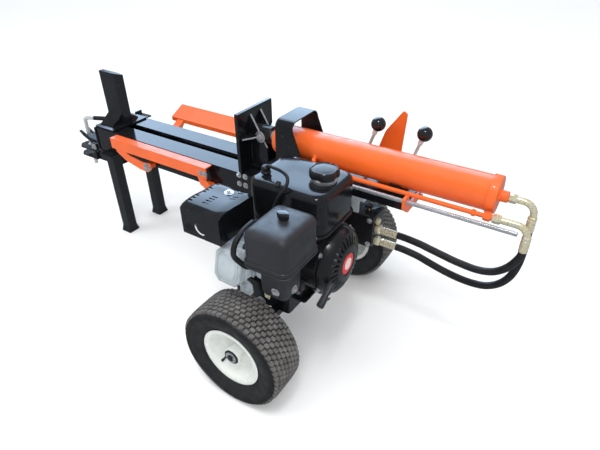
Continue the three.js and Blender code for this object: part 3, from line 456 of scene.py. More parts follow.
def show(mesh, name, material, body, replaces, bevel, bevel_angle, smooth):
    mesh.materials.clear()
    mesh.materials.append(material)
    for polygon in mesh.polygons:
        polygon.use_smooth = True
    mesh.set_sharp_from_angle(angle=math.radians(smooth))
    piece = bpy.data.objects.new(name, mesh)
    bpy.context.scene.collection.objects.link(piece)
    if bevel:
        modifier = piece.modifiers.new("edges", "BEVEL")
        modifier.width = bevel * MM
        modifier.segments = 2
        modifier.limit_method = "ANGLE"
        modifier.angle_limit = math.radians(bevel_angle)
        modifier.harden_normals = True
    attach(piece, body)
    if replaces:
        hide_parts(*replaces)
    return piece


def finish_mesh(work, name):
    bmesh.ops.recalc_face_normals(work, faces=work.faces)
    mesh = bpy.data.meshes.new(name)
    work.to_mesh(mesh)
    work.free()
    return mesh


def draft_mesh(form):
    work = bmesh.new()
    points = [work.verts.new(place(p)) for p in form.points]
    for face in form.faces:
        work.faces.new([points[i] for i in face])
    return work


def make(name, form, material, body="frame", replaces=(), bevel=0.0,
         bevel_angle=BEVEL_ANGLE, smooth=SMOOTH_ANGLE):
    """Turns a form into a piece that rides a body."""
    work = draft_mesh(form)
    bmesh.ops.remove_doubles(work, verts=work.verts, dist=1e-6)
    mesh = finish_mesh(work, name)
    return show(mesh, name, material, body, replaces, bevel, bevel_angle, smooth)


def dress(node, material, bevel=1.2):
    """A CAD shape with its flat faces made whole, and its edges broken by a small bevel."""
    shape = frame["nodes"][node]
    work = bmesh.new()
    work.from_mesh(shape.data)
    bmesh.ops.remove_doubles(work, verts=work.verts, dist=2e-6)
    bmesh.ops.dissolve_limit(
        work, angle_limit=math.radians(0.5), verts=work.verts, edges=work.edges)
    name = node + "_finished"
    mesh = finish_mesh(work, name)
    return show(mesh, name, material, shape["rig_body"], (node,), bevel, BEVEL_ANGLE, SMOOTH_ANGLE)


def carve(piece, cutters):
    """Cuts the forms out of the piece, and applies the cut."""
    tool_form = Form()
    for cutter in cutters:
        tool_form.join(cutter)
    tool = bpy.data.objects.new("cutter", finish_mesh(draft_mesh(tool_form), "cutter"))
    bpy.context.scene.collection.objects.link(tool)
    modifier = piece.modifiers.new("cut", "BOOLEAN")
    modifier.operation = "DIFFERENCE"
    modifier.solver = "EXACT"
    modifier.object = tool
    piece.modifiers.move(len(piece.modifiers) - 1, 0)
    bpy.context.view_layer.update()
    bevels = [m for m in piece.modifiers if m.type == "BEVEL"]
    for m in bevels:
        m.show_viewport = False
    evaluated = piece.evaluated_get(bpy.context.evaluated_depsgraph_get())
    cut_mesh = bpy.data.meshes.new_from_object(evaluated)
    for m in bevels:
        m.show_viewport = True
    piece.modifiers.remove(modifier)
    cut_mesh.set_sharp_from_angle(angle=math.radians(SMOOTH_ANGLE))
    piece.data = cut_mesh
    bpy.data.objects.remove(tool)
    return piece


# ---------------------------------------------------------------------------- hoses

HOSE_RADIUS = 10.5
UPPER_HOSE = [
    (256.6, -30, 377), (276, -30, 377), (300, -32, 377), (332, -34, 375), (362, -36, 371),
    (394, -38, 367), (426, -40, 363), (458, -42, 361), (488, -44, 361), (516, -46, 366),
    (541, -49, 378), (561, -51, 396), (576, -54, 418), (587, -56, 442), (592, -58, 458),
    (592.3, -58, 469.7),
]
LOWER_HOSE = [
    (256.6, -30, 335), (276, -30, 335), (298, -29, 332), (328, -26, 325), (362, -24, 314),
    (396, -22, 304), (430, -20, 296), (462, -19, 292), (494, -17, 291), (522, -15, 295),
    (548, -12, 308), (568, -10, 330), (581, -8, 358), (588, -6, 392), (590, -4, 426),
    (589, -1, 462), (588.6, 0, 480), (588.3, 0, 495.3),
]


def make_hose(name, route):
    path = smooth_path(route)
    cover = tube(path, HOSE_RADIUS, 24)
    hose = make(name + "_cover", cover, RUBBER, replaces=(name,))


make_hose("hose_upper", UPPER_HOSE)
make_hose("hose_lower", LOWER_HOSE)


# --------------------------------------------------------------------------- wheels

TREAD_ROWS = 8
TREAD_PITCH = 13.9
TREAD_COUNT = 56
LUG_COUNT = 128
LUG_Y = 60.3
BLOCK_HALF_AROUND = 7.9
BLOCK_HALF_ACROSS = 5.9
BLOCK_DEPTH = 6.5
BLOCK = [(-1, -1), (0.2, -1), (0.34, -0.72), (1, -0.72),
         (1, 1), (-0.2, 1), (-0.34, 0.72), (-1, 0.72)]


def tread_block(angle, across, radius, turn):
    """One S-shaped block standing on the carcass, with sloping sides."""
    points = []
    for inset, r in ((0.0, radius - BLOCK_DEPTH - 1.5), (1.1, radius)):
        for u, v in BLOCK:
            around = (BLOCK_HALF_AROUND - inset) * u
            side = (BLOCK_HALF_ACROSS - inset * 0.6) * v
            a = angle + around / radius
            points.append((r * math.cos(a), r * math.sin(a), across + side))
    return shell(points, len(BLOCK), turn)


def make_tyre(side, body):
    low, high = limits("tyre_" + side)
    centre = (low + high) / 2
    radius = (high.z - low.z) / 2
    half = (high.y - low.y) / 2
    crown = radius - BLOCK_DEPTH

    def tread_radius(across):
        return radius - 0.4 - 6.0 * (across / half) ** 4

    outer = [(88, -39), (97, -47), (101, -49), (103, -51.5), (108, -52), (122, -58.5),
             (136, -half + 1), (145, -half + 1.6), (150, -57.5), (crown - 2.2, -50)]
    mirror = [(r, -y) for r, y in reversed(outer)]
    inner = [(92, 34), (130, 50), (144, 40), (144, -40), (130, -50), (92, -34)]
    profile = outer + [(crown, -30), (crown + 0.4, 0), (crown, 30)] + mirror + inner
    turn = pose(centre, Y)
    wall = lathe(profile, centre, Y, 112, closed=True)
    step = TAU / TREAD_COUNT
    tread = Form()
    for row in range(TREAD_ROWS):
        across = (row - (TREAD_ROWS - 1) / 2) * TREAD_PITCH
        for k in range(TREAD_COUNT):
            angle = (k + 0.5 * (row % 2)) * step
            tread.join(tread_block(angle, across, tread_radius(across), turn))
    for sign in (-1, 1):
        for k in range(LUG_COUNT):
            shoulder = turn @ Matrix.Rotation(TAU * k / LUG_COUNT, 4, "Z")
            y = sign * LUG_Y
            wall.join(box(137, 150.5, -2.2, 2.2, y - 1.4, y + 1.4, shoulder))
    make(f"tyre_{side}_wall", wall, TYRE_WALL, body, (f"tyre_{side}",), smooth=32)
    make(f"tyre_{side}_tread", tread, TREAD, body, smooth=32)


def make_rim(side, body, outward):
    low, high = limits("rim_" + side)
    centre = (low + high) / 2
    profile = [
        (11, -42), (24, -42), (26, -40), (26, -15), (29, -12.5), (40, -13), (55, -17), (62, -21),
        (68, -29), (74, -41), (78, -46), (84, -48.6), (92, -48.9), (93.8, -47.8), (92.5, -46),
        (86, -45), (84.2, -42), (84.2, 42), (86, 45), (92.5, 46), (93.8, 47.8), (92, 48.9),
        (82, 48.4), (80, 44), (79, -10), (60, -13), (32, 2), (27, 6), (26, 42), (24, 44), (11, 44),
    ]
    form = lathe([(r, y * outward) for r, y in profile], centre, Y, 112, closed=True)
    make(f"rim_{side}_dish", form, CREAM, body, (f"rim_{side}",), smooth=40)
    out = (0, -outward, 0)
    face = centre + Vector((0, -42 * outward, 0))
    seal = lathe([(11, 0.2), (22, 0.2), (23, 1.2), (22, 2.6), (17, 2.9), (15, 1.8), (11, 1.8)],
                 face, out, 40, closed=True)
    make(f"wheel_seal_{side}", seal, ENGINE_BLACK, body)
    stem_at = centre + Vector((-40, -18 * outward, -42))
    stem = lathe([(4.6, -4), (4.6, 3), (3.4, 6), (3.2, 17), (4.0, 17), (4.0, 23), (3.4, 24)],
                 stem_at, out, 20)
    make(f"valve_stem_{side}", stem, RUBBER, body)
    nipple = nut(centre + Vector((3, -12 * outward, -33)), out, 11, 8)
    make(f"hub_nipple_{side}", nipple, ZINC, body, bevel=0.5)
    end = lathe([(9.4, 0), (9.4, 6.6), (8.4, 7.6)], face, out, 32)
    end.join(lathe([(10.2, 3.1), (17, 3.1), (17, 4.9), (10.2, 4.9)], face, out, 32, closed=True))
    pin = [face + Vector((-14, -6.2 * outward, 1)), face + Vector((0, -6.2 * outward, 1)),
           face + Vector((13, -6.2 * outward, 3))]
    make(f"axle_end_{side}", end.join(tube(pin, 1.5, 10)), STEEL)


for side, outward in (("near", 1), ("far", -1)):
    make_tyre(side, "wheel_" + side)
    make_rim(side, "wheel_" + side, outward)

# ------------------------------------------------------------- cylinder, ram, pusher

RAM_Z = 575.6
BARREL_FRONT = -144
BARREL_REAR = 500
WELD_RING = 49.2


def heavy_ripple(travelled):
    """Scale of the cylinder's rear weld, some way along it."""
    return 0.9 + 0.16 * abs(math.sin(travelled * 0.8))


def make_cylinder():
    low, high = limits("cylinder_barrel")
    start = (0, 0, RAM_Z)
    barrel = [
        (40, BARREL_FRONT), (47.2, BARREL_FRONT), (47.7, BARREL_FRONT + 1), (47.7, 100), (47.7, 300),
        (47.7, 474), (48.2, 477), (50.6, 479), (50.6, 497), (49.6, 499.4), (46, BARREL_REAR),
        (19, BARREL_REAR), (17.2, 501.6), (15, 504), (15, high.x - 1), (14, high.x), (8, high.x),
        (8, 486), (40, 486),
    ]
    make("cylinder_barrel_tube", lathe(barrel, start, X, 112, closed=True), ORANGE,
         replaces=("cylinder_barrel",), smooth=40)
    turns = [TAU * k / 96 for k in range(97)]
    ring = [(477.5, WELD_RING * math.sin(a), RAM_Z + WELD_RING * math.cos(a)) for a in turns]
    make("cylinder_rear_weld", tube(ring, 2.0, 8, heavy_ripple), ORANGE)
    gland = [
        (16.4, -178), (36, -178), (38, -177.4), (40, -176.8), (46.4, -175.4), (47.7, -174),
        (47.7, -152), (46.6, -151), (46.6, -148), (47.7, -147), (47.7, -144.4), (16.4, -144.4),
    ]
    make("cylinder_gland_ring", lathe(gland, start, X, 96, closed=True), ORANGE,
         replaces=("cylinder_gland",))
    wiper = [(16.5, -179.6), (22, -179.6), (23.5, -178.6), (23.5, -177.6), (16.5, -177.6)]
    make("rod_wiper", lathe(wiper, start, X, 64, closed=True), RUBBER)
    low, high = limits("piston_rod")
    rod = [(15, low.x), (16, low.x + 1), (16, 100), (16, 442), (38.5, 442), (39.7, 443.2),
           (39.7, 482.8), (38.5, high.x)]
    make("piston_rod_bar", lathe(rod, start, X, 64), CHROME, "ram", ("piston_rod",))


make_cylinder()


def make_guard():
    """Bent sheet over the cylinder's front, its rear edges sloping back to the feet."""
    low, high = limits("cylinder_guard")
    wall = 4.0
    radius = 26.0
    steps = 10
    half, top, foot = high.y, high.z, low.z
    front = -142.0
    crest = -82.0
    heel = -30.0

    def arch(inset, corner):
        ring = [(-half + inset, foot)]
        for sign, first in ((-1, math.pi), (1, math.pi / 2)):
            centre = sign * (half - inset - corner)
            for k in range(steps + 1):
                angle = first - k / steps * math.pi / 2
                z = top - inset - corner + corner * math.sin(angle)
                ring.append((centre + corner * math.cos(angle), z))
        return ring + [(half - inset, foot)]

    outer, inner = arch(0, radius), arch(wall, radius - wall)
    section = outer + inner[::-1]

    def rear(z):
        share = min(1.0, max(0.0, (top - 14 - z) / (top - 14 - foot - 18)))
        return crest + (heel - crest) * (3 * share ** 2 - 2 * share ** 3)

    count = len(section)
    points = [(front, y, z) for y, z in section] + [(rear(z), y, z) for y, z in section]
    faces = [(k, (k + 1) % count, count + (k + 1) % count, count + k) for k in range(count)]
    for k in range(len(outer) - 1):
        a, b = k, k + 1
        c, d = count - 1 - k, count - 2 - k
        faces.append((a, b, d, c))
        faces.append((count + a, count + c, count + d, count + b))
    form = Form().add(points, faces)
    for near, far in ((-half, -44), (44, half)):
        form.join(box(front + 1, -48, near, far, foot, foot + wall))
    make("cylinder_guard_sheet", form, BLACK, replaces=("cylinder_guard",), bevel=0.9)
    places = [(x, y, foot + wall) for y in (-58, 58) for x in (-126, -66)]
    make("guard_bolts", bolts_at(places, Z, 10, 6), STEEL)


make_guard()


def make_pusher():
    dress("pusher_plate", BLACK, 2.0)
    pin = bolt((-232, -30.5, RAM_Z), NEAR, 19, 7)
    make("pusher_pin_bolt", pin, STEEL, "ram", bevel=0.4)
    welds = Form()
    for y in (-29, 29):
        welds.join(bead([(-269.5, y, 548), (-269.5, y, 470)], 2.6))
    make("pusher_welds", welds, BLACK, "ram")
    for side, sign in (("near", -1), ("far", 1)):
        # Painted highlight: steel strips along the black ribs' sloping edges, standing in for the
        # light those edges catch.
        edges = tube([(-265.5, sign * 80, RAM_Z), (-223, sign * 14.5, RAM_Z)], 3.2, 12)
        edges.join(tube([(-269, sign * 26, 643), (-209.5, sign * 26, 542.5)], 3.2, 12))
        make("pusher_rib_painted_highlight_" + side, edges, STEEL, "ram")
    dress("pusher_guide", STEEL, 0.8)


make_pusher()


def make_stop_rod():
    low, high = limits("stop_rod")
    centre = (low + high) / 2
    form = lathe([(4.6, low.x), (6, low.x + 1.6), (6, 200), (6, high.x - 1.6), (4.6, high.x)],
                 (0, centre.y, centre.z), X, 32)
    make("stop_rod_bar", form, STEEL, "stop_rod", ("stop_rod",))


make_stop_rod()

# -------------------------------------------------------------------- hydraulic lines


PIPE_Y = -58
PIPE_Z = 540
HOSE_END_Y = -30
FERRULE_RADIUS = 11.6


def make_pipe():
    y, z = PIPE_Y, PIPE_Z
    route = [(-20, -47.9, 563.6), (-18, -56, 559.6), (-8, -60, 545.6), (20, y, 542), (60, y, z),
             (260, y, z), (480, y, z), (494, y, z)]
    form = tube(smooth_path(route, 8, 0.4), 6.5, 24)
    form.join(nut((482, y, z), X, 21, 18)).join(lathe([(8, 0), (8, 6)], (498, y, z), X, 24))
    form.join(nut((452, y, z), X, 16, 10))
    make("hard_pipe_line", form, ORANGE, replaces=("hard_pipe",), bevel=0.5,
         bevel_angle=45)
    boss = lathe([(9, 0), (9, 2), (7.5, 4), (6, 4)], (-20, -44, 566), (0, -0.9, -0.44), 32)
    make("front_port_boss", boss, ORANGE)


def ferrule(origin, axis, length):
    """A crimped sleeve: shallow grooves between swaged lands."""
    radius = FERRULE_RADIUS
    rows = [(radius - 2.4, 0), (radius - 0.6, 1.2)]
    lands = max(3, int(length / 7))
    width = (length - 4) / lands
    for k in range(lands):
        start = 2 + width * k
        rows += [(radius - 0.3, start), (radius, start + width * 0.2), (radius, start + width * 0.7),
                 (radius - 1.1, start + width * 0.85)]
    rows += [(radius - 0.6, length - 1.2), (radius - 2.0, length)]
    return lathe(rows, origin, axis, 32)


def make_elbow(name, x, y, z, reach, drop):
    """A tube that runs back by the reach, bends down and ends in a ferrule."""
    form = nut((x, y, z), X, 22, 20)
    bend = 30
    end_x, end_z = x + reach, z - drop
    arc = [(end_x - bend + bend * math.sin(a), y, z - bend + bend * math.cos(a))
           for a in (math.pi / 2 * k / 12 for k in range(13))]
    form.join(tube([(x + 16, y, z)] + arc + [(end_x, y, end_z + 24)], 9, 24))
    form.join(nut((end_x, y, end_z + 46), DOWN, 20, 11))
    form.join(ferrule((end_x, y, end_z + 36), DOWN, 36))
    make(name + "_plated", form, ZINC, replaces=(name,), bevel=0.4, bevel_angle=50)


def make_hose_end(name, z):
    low, high = limits(name)
    x, y = low.x, HOSE_END_Y
    form = nut((x, y, z), X, 25, 18)
    form.join(lathe([(9, 16), (9, 34)], (x, y, z), X, 28)).join(nut((x + 22, y, z), X, 20, 8))
    form.join(ferrule((x + 30, y, z), X, high.x - x - 30))
    make(name + "_plated", form, ZINC, replaces=(name,), bevel=0.4, bevel_angle=50)


make_pipe()
make_elbow("elbow_rear", 522.3, 0, RAM_Z, 66, 80)
make_elbow("elbow_pipe", 504.3, PIPE_Y, PIPE_Z, 88, 70)
make_hose_end("hose_end_upper", 377)
make_hose_end("hose_end_lower", 335)

# -------------------------------------------------------------------- frame and trays

for node in ("beam_channel_near", "beam_channel_far", "leg_near", "leg_far", "axle_frame",
             "cylinder_support", "lever_bracket", "hitch_latch", "hydraulic_tank"):
    dress(node, BLACK)
dress("wedge", BLACK, 0.8)
dress("hitch_clevis", BLACK, 1.4)
for node in ("log_tray_near", "log_tray_far", "lever_fin", "rod_guide_bracket"):
    dress(node, ORANGE, 0.9)
for node in ("valve_body", "crankcase", "pump"):
    dress(node, ENGINE_BLACK, 1.8)
dress("muffler", STEEL, 1.5)
dress("valve_bracket", ALUMINIUM, 1.6)
dress("choke_lever", STEEL, 0.4)
dress("throttle_lever", STEEL, 0.4)


LATCH_X = -1124
LATCH_Z = 327
PIN_X = -1195


def make_frame_details():
    welds = Form()
    for y in (-11.5, 11.5):
        welds.join(bead([(-1004, y, 467), (-928, y, 467)], 3.2))
    for side in (-1, 1):
        y = side * 86
        for x in (-913, -955):
            welds.join(bead([(x, y - 20, 361), (x, y + 20, 361)], 2.6))
        welds.join(bead([(-186, side * 51.5, 461.5), (56, side * 51.5, 461.5)], 2.6))
    make("frame_welds", welds, BLACK)
    bolts = bolts_at([(x, -122, 436) for x in (-424, -404)], NEAR, 10, 6)
    bolts.join(bolt((-700, -118.4, 380), NEAR, 17, 8))
    bolts.join(bolts_at([(x, -88.3, z) for x in (-284, -258) for z in (420, 452)], NEAR, 10, 6))
    for axis, sign in ((NEAR, -1), (Y, 1)):
        bolts.join(bolt((LATCH_X, sign * 36, LATCH_Z), axis, 13, 8))
    bolts.join(bolts_at([(x, 94, 412) for x in (-745, -390)], Y, 10, 6))
    bolts.join(bolts_at([(-1008.4, y, 436) for y in (-76, 76)], FRONT, 12, 7))
    rear = limits("rod_guide_bracket")[1].x
    bolts.join(bolts_at([(rear, y, 496) for y in (-30, 30)], X, 9, 5))
    make("frame_bolts", bolts, STEEL)


make_frame_details()


def make_hitch_pin():
    route = [(PIN_X, 0, 218), (PIN_X, 0, 300), (PIN_X, 0, 410), (PIN_X + 3, 1, 424),
             (PIN_X + 14, 6, 430), (PIN_X + 40, 17, 431), (PIN_X + 92, 40, 431)]
    form = tube(smooth_path(route, 8), 8, 28)
    collar = [(8, 0), (12, 0), (13, 1), (13, 5.6), (12, 6.7), (8, 6.7)]
    form.join(lathe(collar, (PIN_X, 0, 306.3), Z, 40))
    make("hitch_pin_bar", form, CHROME, "hitch_pin", ("hitch_pin",))
    along = Vector((52, 23, 0)).normalized()
    start = Vector((PIN_X + 70, 30.3, 431)) - along * 33
    grip = [(8.2, 0), (9.4, 1.2)] + [(9.4 - 0.5 * (k % 2), 4 + k * 2.6) for k in range(23)]
    grip += [(9.4, 65), (8.6, 66.4)]
    make("hitch_pin_grip", lathe(grip, start, along, 32), RUBBER, "hitch_pin")


make_hitch_pin()

# --------------------------------------------------------------------------- controls


LEVER_LENGTH = 150
LEVER_Y = 102
LEVER_Z = 504


def make_lever(side, x, tilt):
    """Stem, eye and ball of one hand lever, and the pin that it swings on."""
    body = "control_lever_" + side
    length, y, z = LEVER_LENGTH, LEVER_Y, LEVER_Z
    pivot = Matrix.Translation((x, y, z)) @ Matrix.Rotation(math.radians(tilt), 4, "Y")
    axis = pivot.to_3x3() @ Vector(Z)
    origin = pivot.translation
    stem = lathe([(5, 8), (5, length - 38), (6.2, length - 36), (8, length - 34),
                  (8, length - 14), (7, length - 12)], origin, axis, 32)
    eye = lathe([(5.4, -9), (11.4, -9), (12, -8.4), (12, 8.4), (11.4, 9), (5.4, 9)],
                origin, Y, 40, closed=True)
    make(body + "_stem", stem.join(eye), BRIGHT_ROD, body, (body,))
    ball = [(6.5, length - 20)]
    for k in range(25):
        angle = math.radians(-66 + 156 * k / 24)
        ball.append((max(0.4, 21.9 * math.cos(angle)), length + 21.8 * math.sin(angle)))
    make(body + "_knob", lathe(ball, origin, axis, 48), KNOB, body)
    pins = bolt((x, y - 18.4, z), NEAR, 9, 4).join(bolt((x, y + 18.4, z), Y, 9, 3.4))
    make("lever_pin_" + side, pins, STEEL)


def make_valve_details():
    spool = [(7.4, -14), (8, -13), (8, 44), (11.4, 44), (12, 44.6), (12, 55.4), (11.4, 56),
             (8, 56), (8, 61), (7.4, 62)]
    make("valve_spool_bar", lathe(spool, (128, 0, 380), Y, 40), STEEL, "valve_spool",
         ("valve_spool",))
    fasteners = bolts_at([(x, -52.3, z) for x in (90, 174) for z in (328, 412)], NEAR, 9, 5)
    fasteners.join(bolts_at([(94, -30, 478), (136, 20, 478)], Z, 11, 6))
    fasteners.join(bolt((186.4, 6, 356), X, 14, 6)).join(bolt((114, -52.3, 356), NEAR, 15, 7))
    make("valve_bolts", fasteners, STEEL)
    plugs = nut((186.4, -30, 404), X, 19, 11).join(nut((152, -12, 424.4), Z, 20, 9))
    make("valve_plugs", plugs, ZINC, bevel=0.4)


make_lever("left", 62, 18.5)
make_lever("right", 208, 17.5)
make_valve_details()

# --------------------------------------------------------------------- tank and engine

CRANK_Y = -217
CRANK_Z = 370


def make_fuel_tank():
    low, high = limits("fuel_tank")
    x0, x1, y0, y1 = low.x + 5, high.x - 5, low.y + 5, high.y - 5
    z0, top = low.z, high.z - 9
    cap = Vector((106, -208))
    vent = Vector((-39, -262))

    def crown(x, y, z):
        if z < top - 16:
            return 0
        here = Vector((x, y))
        well = 4.5 * math.exp(-((here - cap).length / 52) ** 2)
        dip = 3.0 * math.exp(-((here - vent).length / 30) ** 2)
        valley = 3.2 * math.exp(-((x - 22) / 26) ** 2)
        return -well - dip - valley

    levels = [
        (26, z0), (12, z0 + 0.6), (4, z0 + 5), (0.6, z0 + 12), (0, z0 + 17), (-4, z0 + 18),
        (-5, z0 + 19), (-5, z0 + 21.4), (-4, z0 + 22.4), (0, z0 + 23), (0, z0 + 40), (0, top - 22),
        (1, top - 15), (4.5, top - 9), (10, top - 5), (18, top - 2.4), (28, top - 1),
        (40, top - 0.4), (54, top), (68, top), (80, top), (88, top),
    ]
    tank = stacked(x0, x1, y0, y1, 36, levels, crown)
    make("fuel_tank_shell", tank, BLACK, replaces=("fuel_tank",), smooth=46)
    ring = [(27, -8), (33, -8), (34, -6), (34, 3), (36.5, 4), (36.5, 6), (34, 7), (33, 8.6),
            (27, 8.6)]
    make("filler_neck_ring", lathe(ring, (cap.x, cap.y, top), Z, 64, closed=True), STEEL)

    def scallop(angle, radius, along):
        return 1 - 0.13 * max(0.0, math.cos(4 * angle)) ** 2 if radius > 33 and along > 9 else 1

    cap_rows = [
        (26, 0), (26, 9.6), (37, 10.4), (39.6, 12), (40, 17), (39.6, 25), (38, 29), (34.6, 31.6),
        (32.6, 31.2), (31.6, 30), (30, 30), (26, 31.6), (16, 33.2), (6, 33.8), (0.5, 34),
    ]
    moulding = lathe(cap_rows, (cap.x, cap.y, top - 1), Z, 128, swell=scallop)
    make("fuel_cap_moulding", moulding, ENGINE_BLACK, "fuel_cap", ("fuel_cap",),
         smooth=44)
    fitting = lathe([(13.6, 0), (13.6, 4), (11, 6), (11, 10), (12, 11), (12, 17), (9, 20),
                     (0.5, 21)], (vent.x, vent.y, top + 2), Z, 48)
    route = [(-39, -262, 622), (-27, -266, 632), (-5, -272, 635), (19, -275, 634), (40, -282, 629),
             (52, -297, 620), (50, -312, 606), (40, -319, 588), (28, -323, 558), (20, -324, 530)]
    fitting.join(tube(smooth_path(route, 8), 4.5, 20))
    fitting.join(tube([(29.5, -302, 618), (32.6, -312, 610)], 6.4, 20))
    make("vent_line", fitting, RUBBER, replaces=("vent_hose",))
    feet = Form()
    for x in (-30, 78):
        feet.join(box(x - 13, x + 13, -306, -252, 500, 505))
        feet.join(bolt((x, -300, 499), DOWN, 10, 6))
    make("tank_straps", feet, ENGINE_BLACK, bevel=1)


def make_air_filter():
    low, high = limits("air_filter_cover")
    x0, x1, y0, y1 = low.x, high.x, low.y, high.y
    split, top = low.z, high.z - 3

    def crown(x, y, z):
        if z < top - 14:
            return 0
        rise = 1 - ((x - (x0 + x1) / 2 - 10) / 75) ** 2 - ((y - (y0 + y1) / 2 - 16) / 110) ** 2
        return 6.0 * rise - 5.4

    levels = [
        (3, split), (0.4, split + 0.6), (0, split + 2), (0, split + 10), (0.6, split + 11.2),
        (2.6, split + 12.4), (2.6, top - 20), (3.6, top - 13), (6, top - 8), (10.5, top - 4),
        (16, top - 1.6), (24, top - 0.4), (32, top), (42, top), (50, top),
    ]
    lid = stacked(x0, x1, y0, y1, 20, levels, crown)
    make("air_filter_lid", lid, PLASTIC, replaces=("air_filter_cover",), smooth=44)
    tray = [(3, split - 9), (0, split - 7.4), (-1.6, split - 4), (-1.6, split - 1.4),
            (0, split - 0.4)]
    base = stacked(x0, x1, y0, y1, 20, tray)
    body = [(9, 380), (5, 381.5), (2.5, 388), (1, 420), (0, 470), (-1, split - 8)]
    base.join(stacked(64, 144, -452, -370, 16, body))
    make("air_filter_box", base, PLASTIC, replaces=("air_filter_base",), smooth=44)
    bolts = bolt((114, -449.4, 406), NEAR, 12, 6).join(bolt((141.4, -410, 398), X, 12, 6))
    make("filter_bolts", bolts, STEEL)
    low, high_knob = limits("filter_knob")
    stud = ((low.x + high_knob.x) / 2, (low.y + high_knob.y) / 2, high.z - 3)

    def wings(angle, radius, along):
        return 1 + 0.34 * math.cos(angle) ** 6

    rows = [(8, 3.6), (11, 4), (11.8, 6), (11.8, 17), (11, 19.6), (8, 21), (0.4, 21)]
    make("filter_knob_moulding", lathe(rows, stud, Z, 64, swell=wings), KNOB,
         "filter_knob", ("filter_knob",))


def slot_cutter(centre, length, width, turn_degrees, axis, depth=14):
    """A slot with round ends, standing across a surface."""
    ring = []
    for sign in (1, -1):
        for k in range(9):
            angle = -math.pi / 2 + math.pi * k / 8
            ring.append((sign * ((length - width) / 2 + width / 2 * math.cos(angle)),
                         sign * width / 2 * math.sin(angle)))
    along = Vector(X)
    square = Matrix((along, Vector(axis).cross(along), axis)).transposed().to_4x4()
    spin = Matrix.Rotation(math.radians(turn_degrees), 4, "Z")
    sink = Matrix.Translation((0, 0, -depth / 2))
    return prism(ring, depth, Matrix.Translation(centre) @ square @ spin @ sink)


def make_muffler_shield():
    low, high = limits("muffler_shield")
    x0, x1, y0, y1, z0, z1 = low.x, high.x, low.y, high.y, low.z, high.z
    wall = 2.5

    def top_at(y):
        share = (y - y0) / (y1 - y0)
        hump = math.sin(math.pi * min(1, share * 1.25 + 0.1))
        return z1 - 9 * (1 - hump) * (1 - share) - 5 * share ** 3

    def edge_drop(step, steps, at_edge, beside_it):
        """How far the top is rounded down at its rim and one step inside it."""
        return {0: at_edge, 1: beside_it}.get(min(step, steps - step), 0)

    def skin(inset):
        rings = []
        foot = z0 - (1 if inset else 0)
        for step in range(13):
            x = x0 + inset + (x1 - x0 - 2 * inset) * step / 12
            drop = inset + edge_drop(step, 12, 5.0, 1.0)
            ring = [(x, y0 + inset, foot)]
            for k in range(17):
                y = y0 + inset + (y1 - y0 - 2 * inset) * k / 16
                ring.append((x, y, top_at(y) - drop - edge_drop(k, 16, 4.0, 0.8)))
            rings.append(ring + [(x, y1 - inset, foot)])
        return loft(rings)

    shield = make("muffler_shield_pressing", skin(0), BLACK,
                  replaces=("muffler_shield",), smooth=44)
    cutters = [skin(wall)]
    for across in (26, 39, 52, 77, 90, 103, 128):
        cutters.append(slot_cutter((x0 + 15, y0 + across, z1 - 4), 13, 6, 0, Z, 30))
    for k in range(4):
        cutters.append(slot_cutter((x0 + 59, y0 + 32 + k * 12.2, z1 - 4), 20, 4.6, 0, Z, 30))
    for across in (87, 99, 121, 131):
        cutters.append(slot_cutter((x1 - 25, y0 + across, z1 - 4), 16, 4.2, 31, Z, 30))
    for k in range(3):
        slot = (x0 + 17 + k * 8, y0, z0 + 18 + k * 5)
        cutters.append(slot_cutter(slot, 24, 3.6, -38, NEAR))
    crescent = []
    for k in range(13):
        angle = math.radians(150 + 140 * k / 12)
        crescent.append((22 * math.cos(angle), 22 * math.sin(angle)))
    for k in range(13):
        angle = math.radians(290 - 140 * k / 12)
        crescent.append((5 + 19 * math.cos(angle), 4 + 19 * math.sin(angle)))
    face = Matrix(((1, 0, 0, x0 + 63), (0, 0, -1, y0), (0, 1, 0, z0 + 32), (0, 0, 0, 1)))
    cutters.append(prism(crescent, 14, face @ Matrix.Translation((0, 0, -7))))
    for cutter in cutters:
        carve(shield, [cutter])
    boss = lathe([(13, 0), (13, 1.4), (9.6, 2.4), (9.6, 4), (0.5, 4.6)],
                 (-96, -350, z1 - 4.8), Z, 40)
    boss.join(nut((-96, -350, z1 - 1), Z, 10, 4))
    make("shield_boss", boss, STEEL)
    make("shield_screw", bolt((-141, -399, z1 - 5), Z, 6, 2.5), STEEL)
    pipe = lathe([(13, 0), (15, 1), (15, 9), (12.5, 10), (12.5, 1)],
                 (x0 + 63, y0 + 14, z0 + 32), NEAR, 40)
    make("exhaust_outlet", pipe, STEEL)


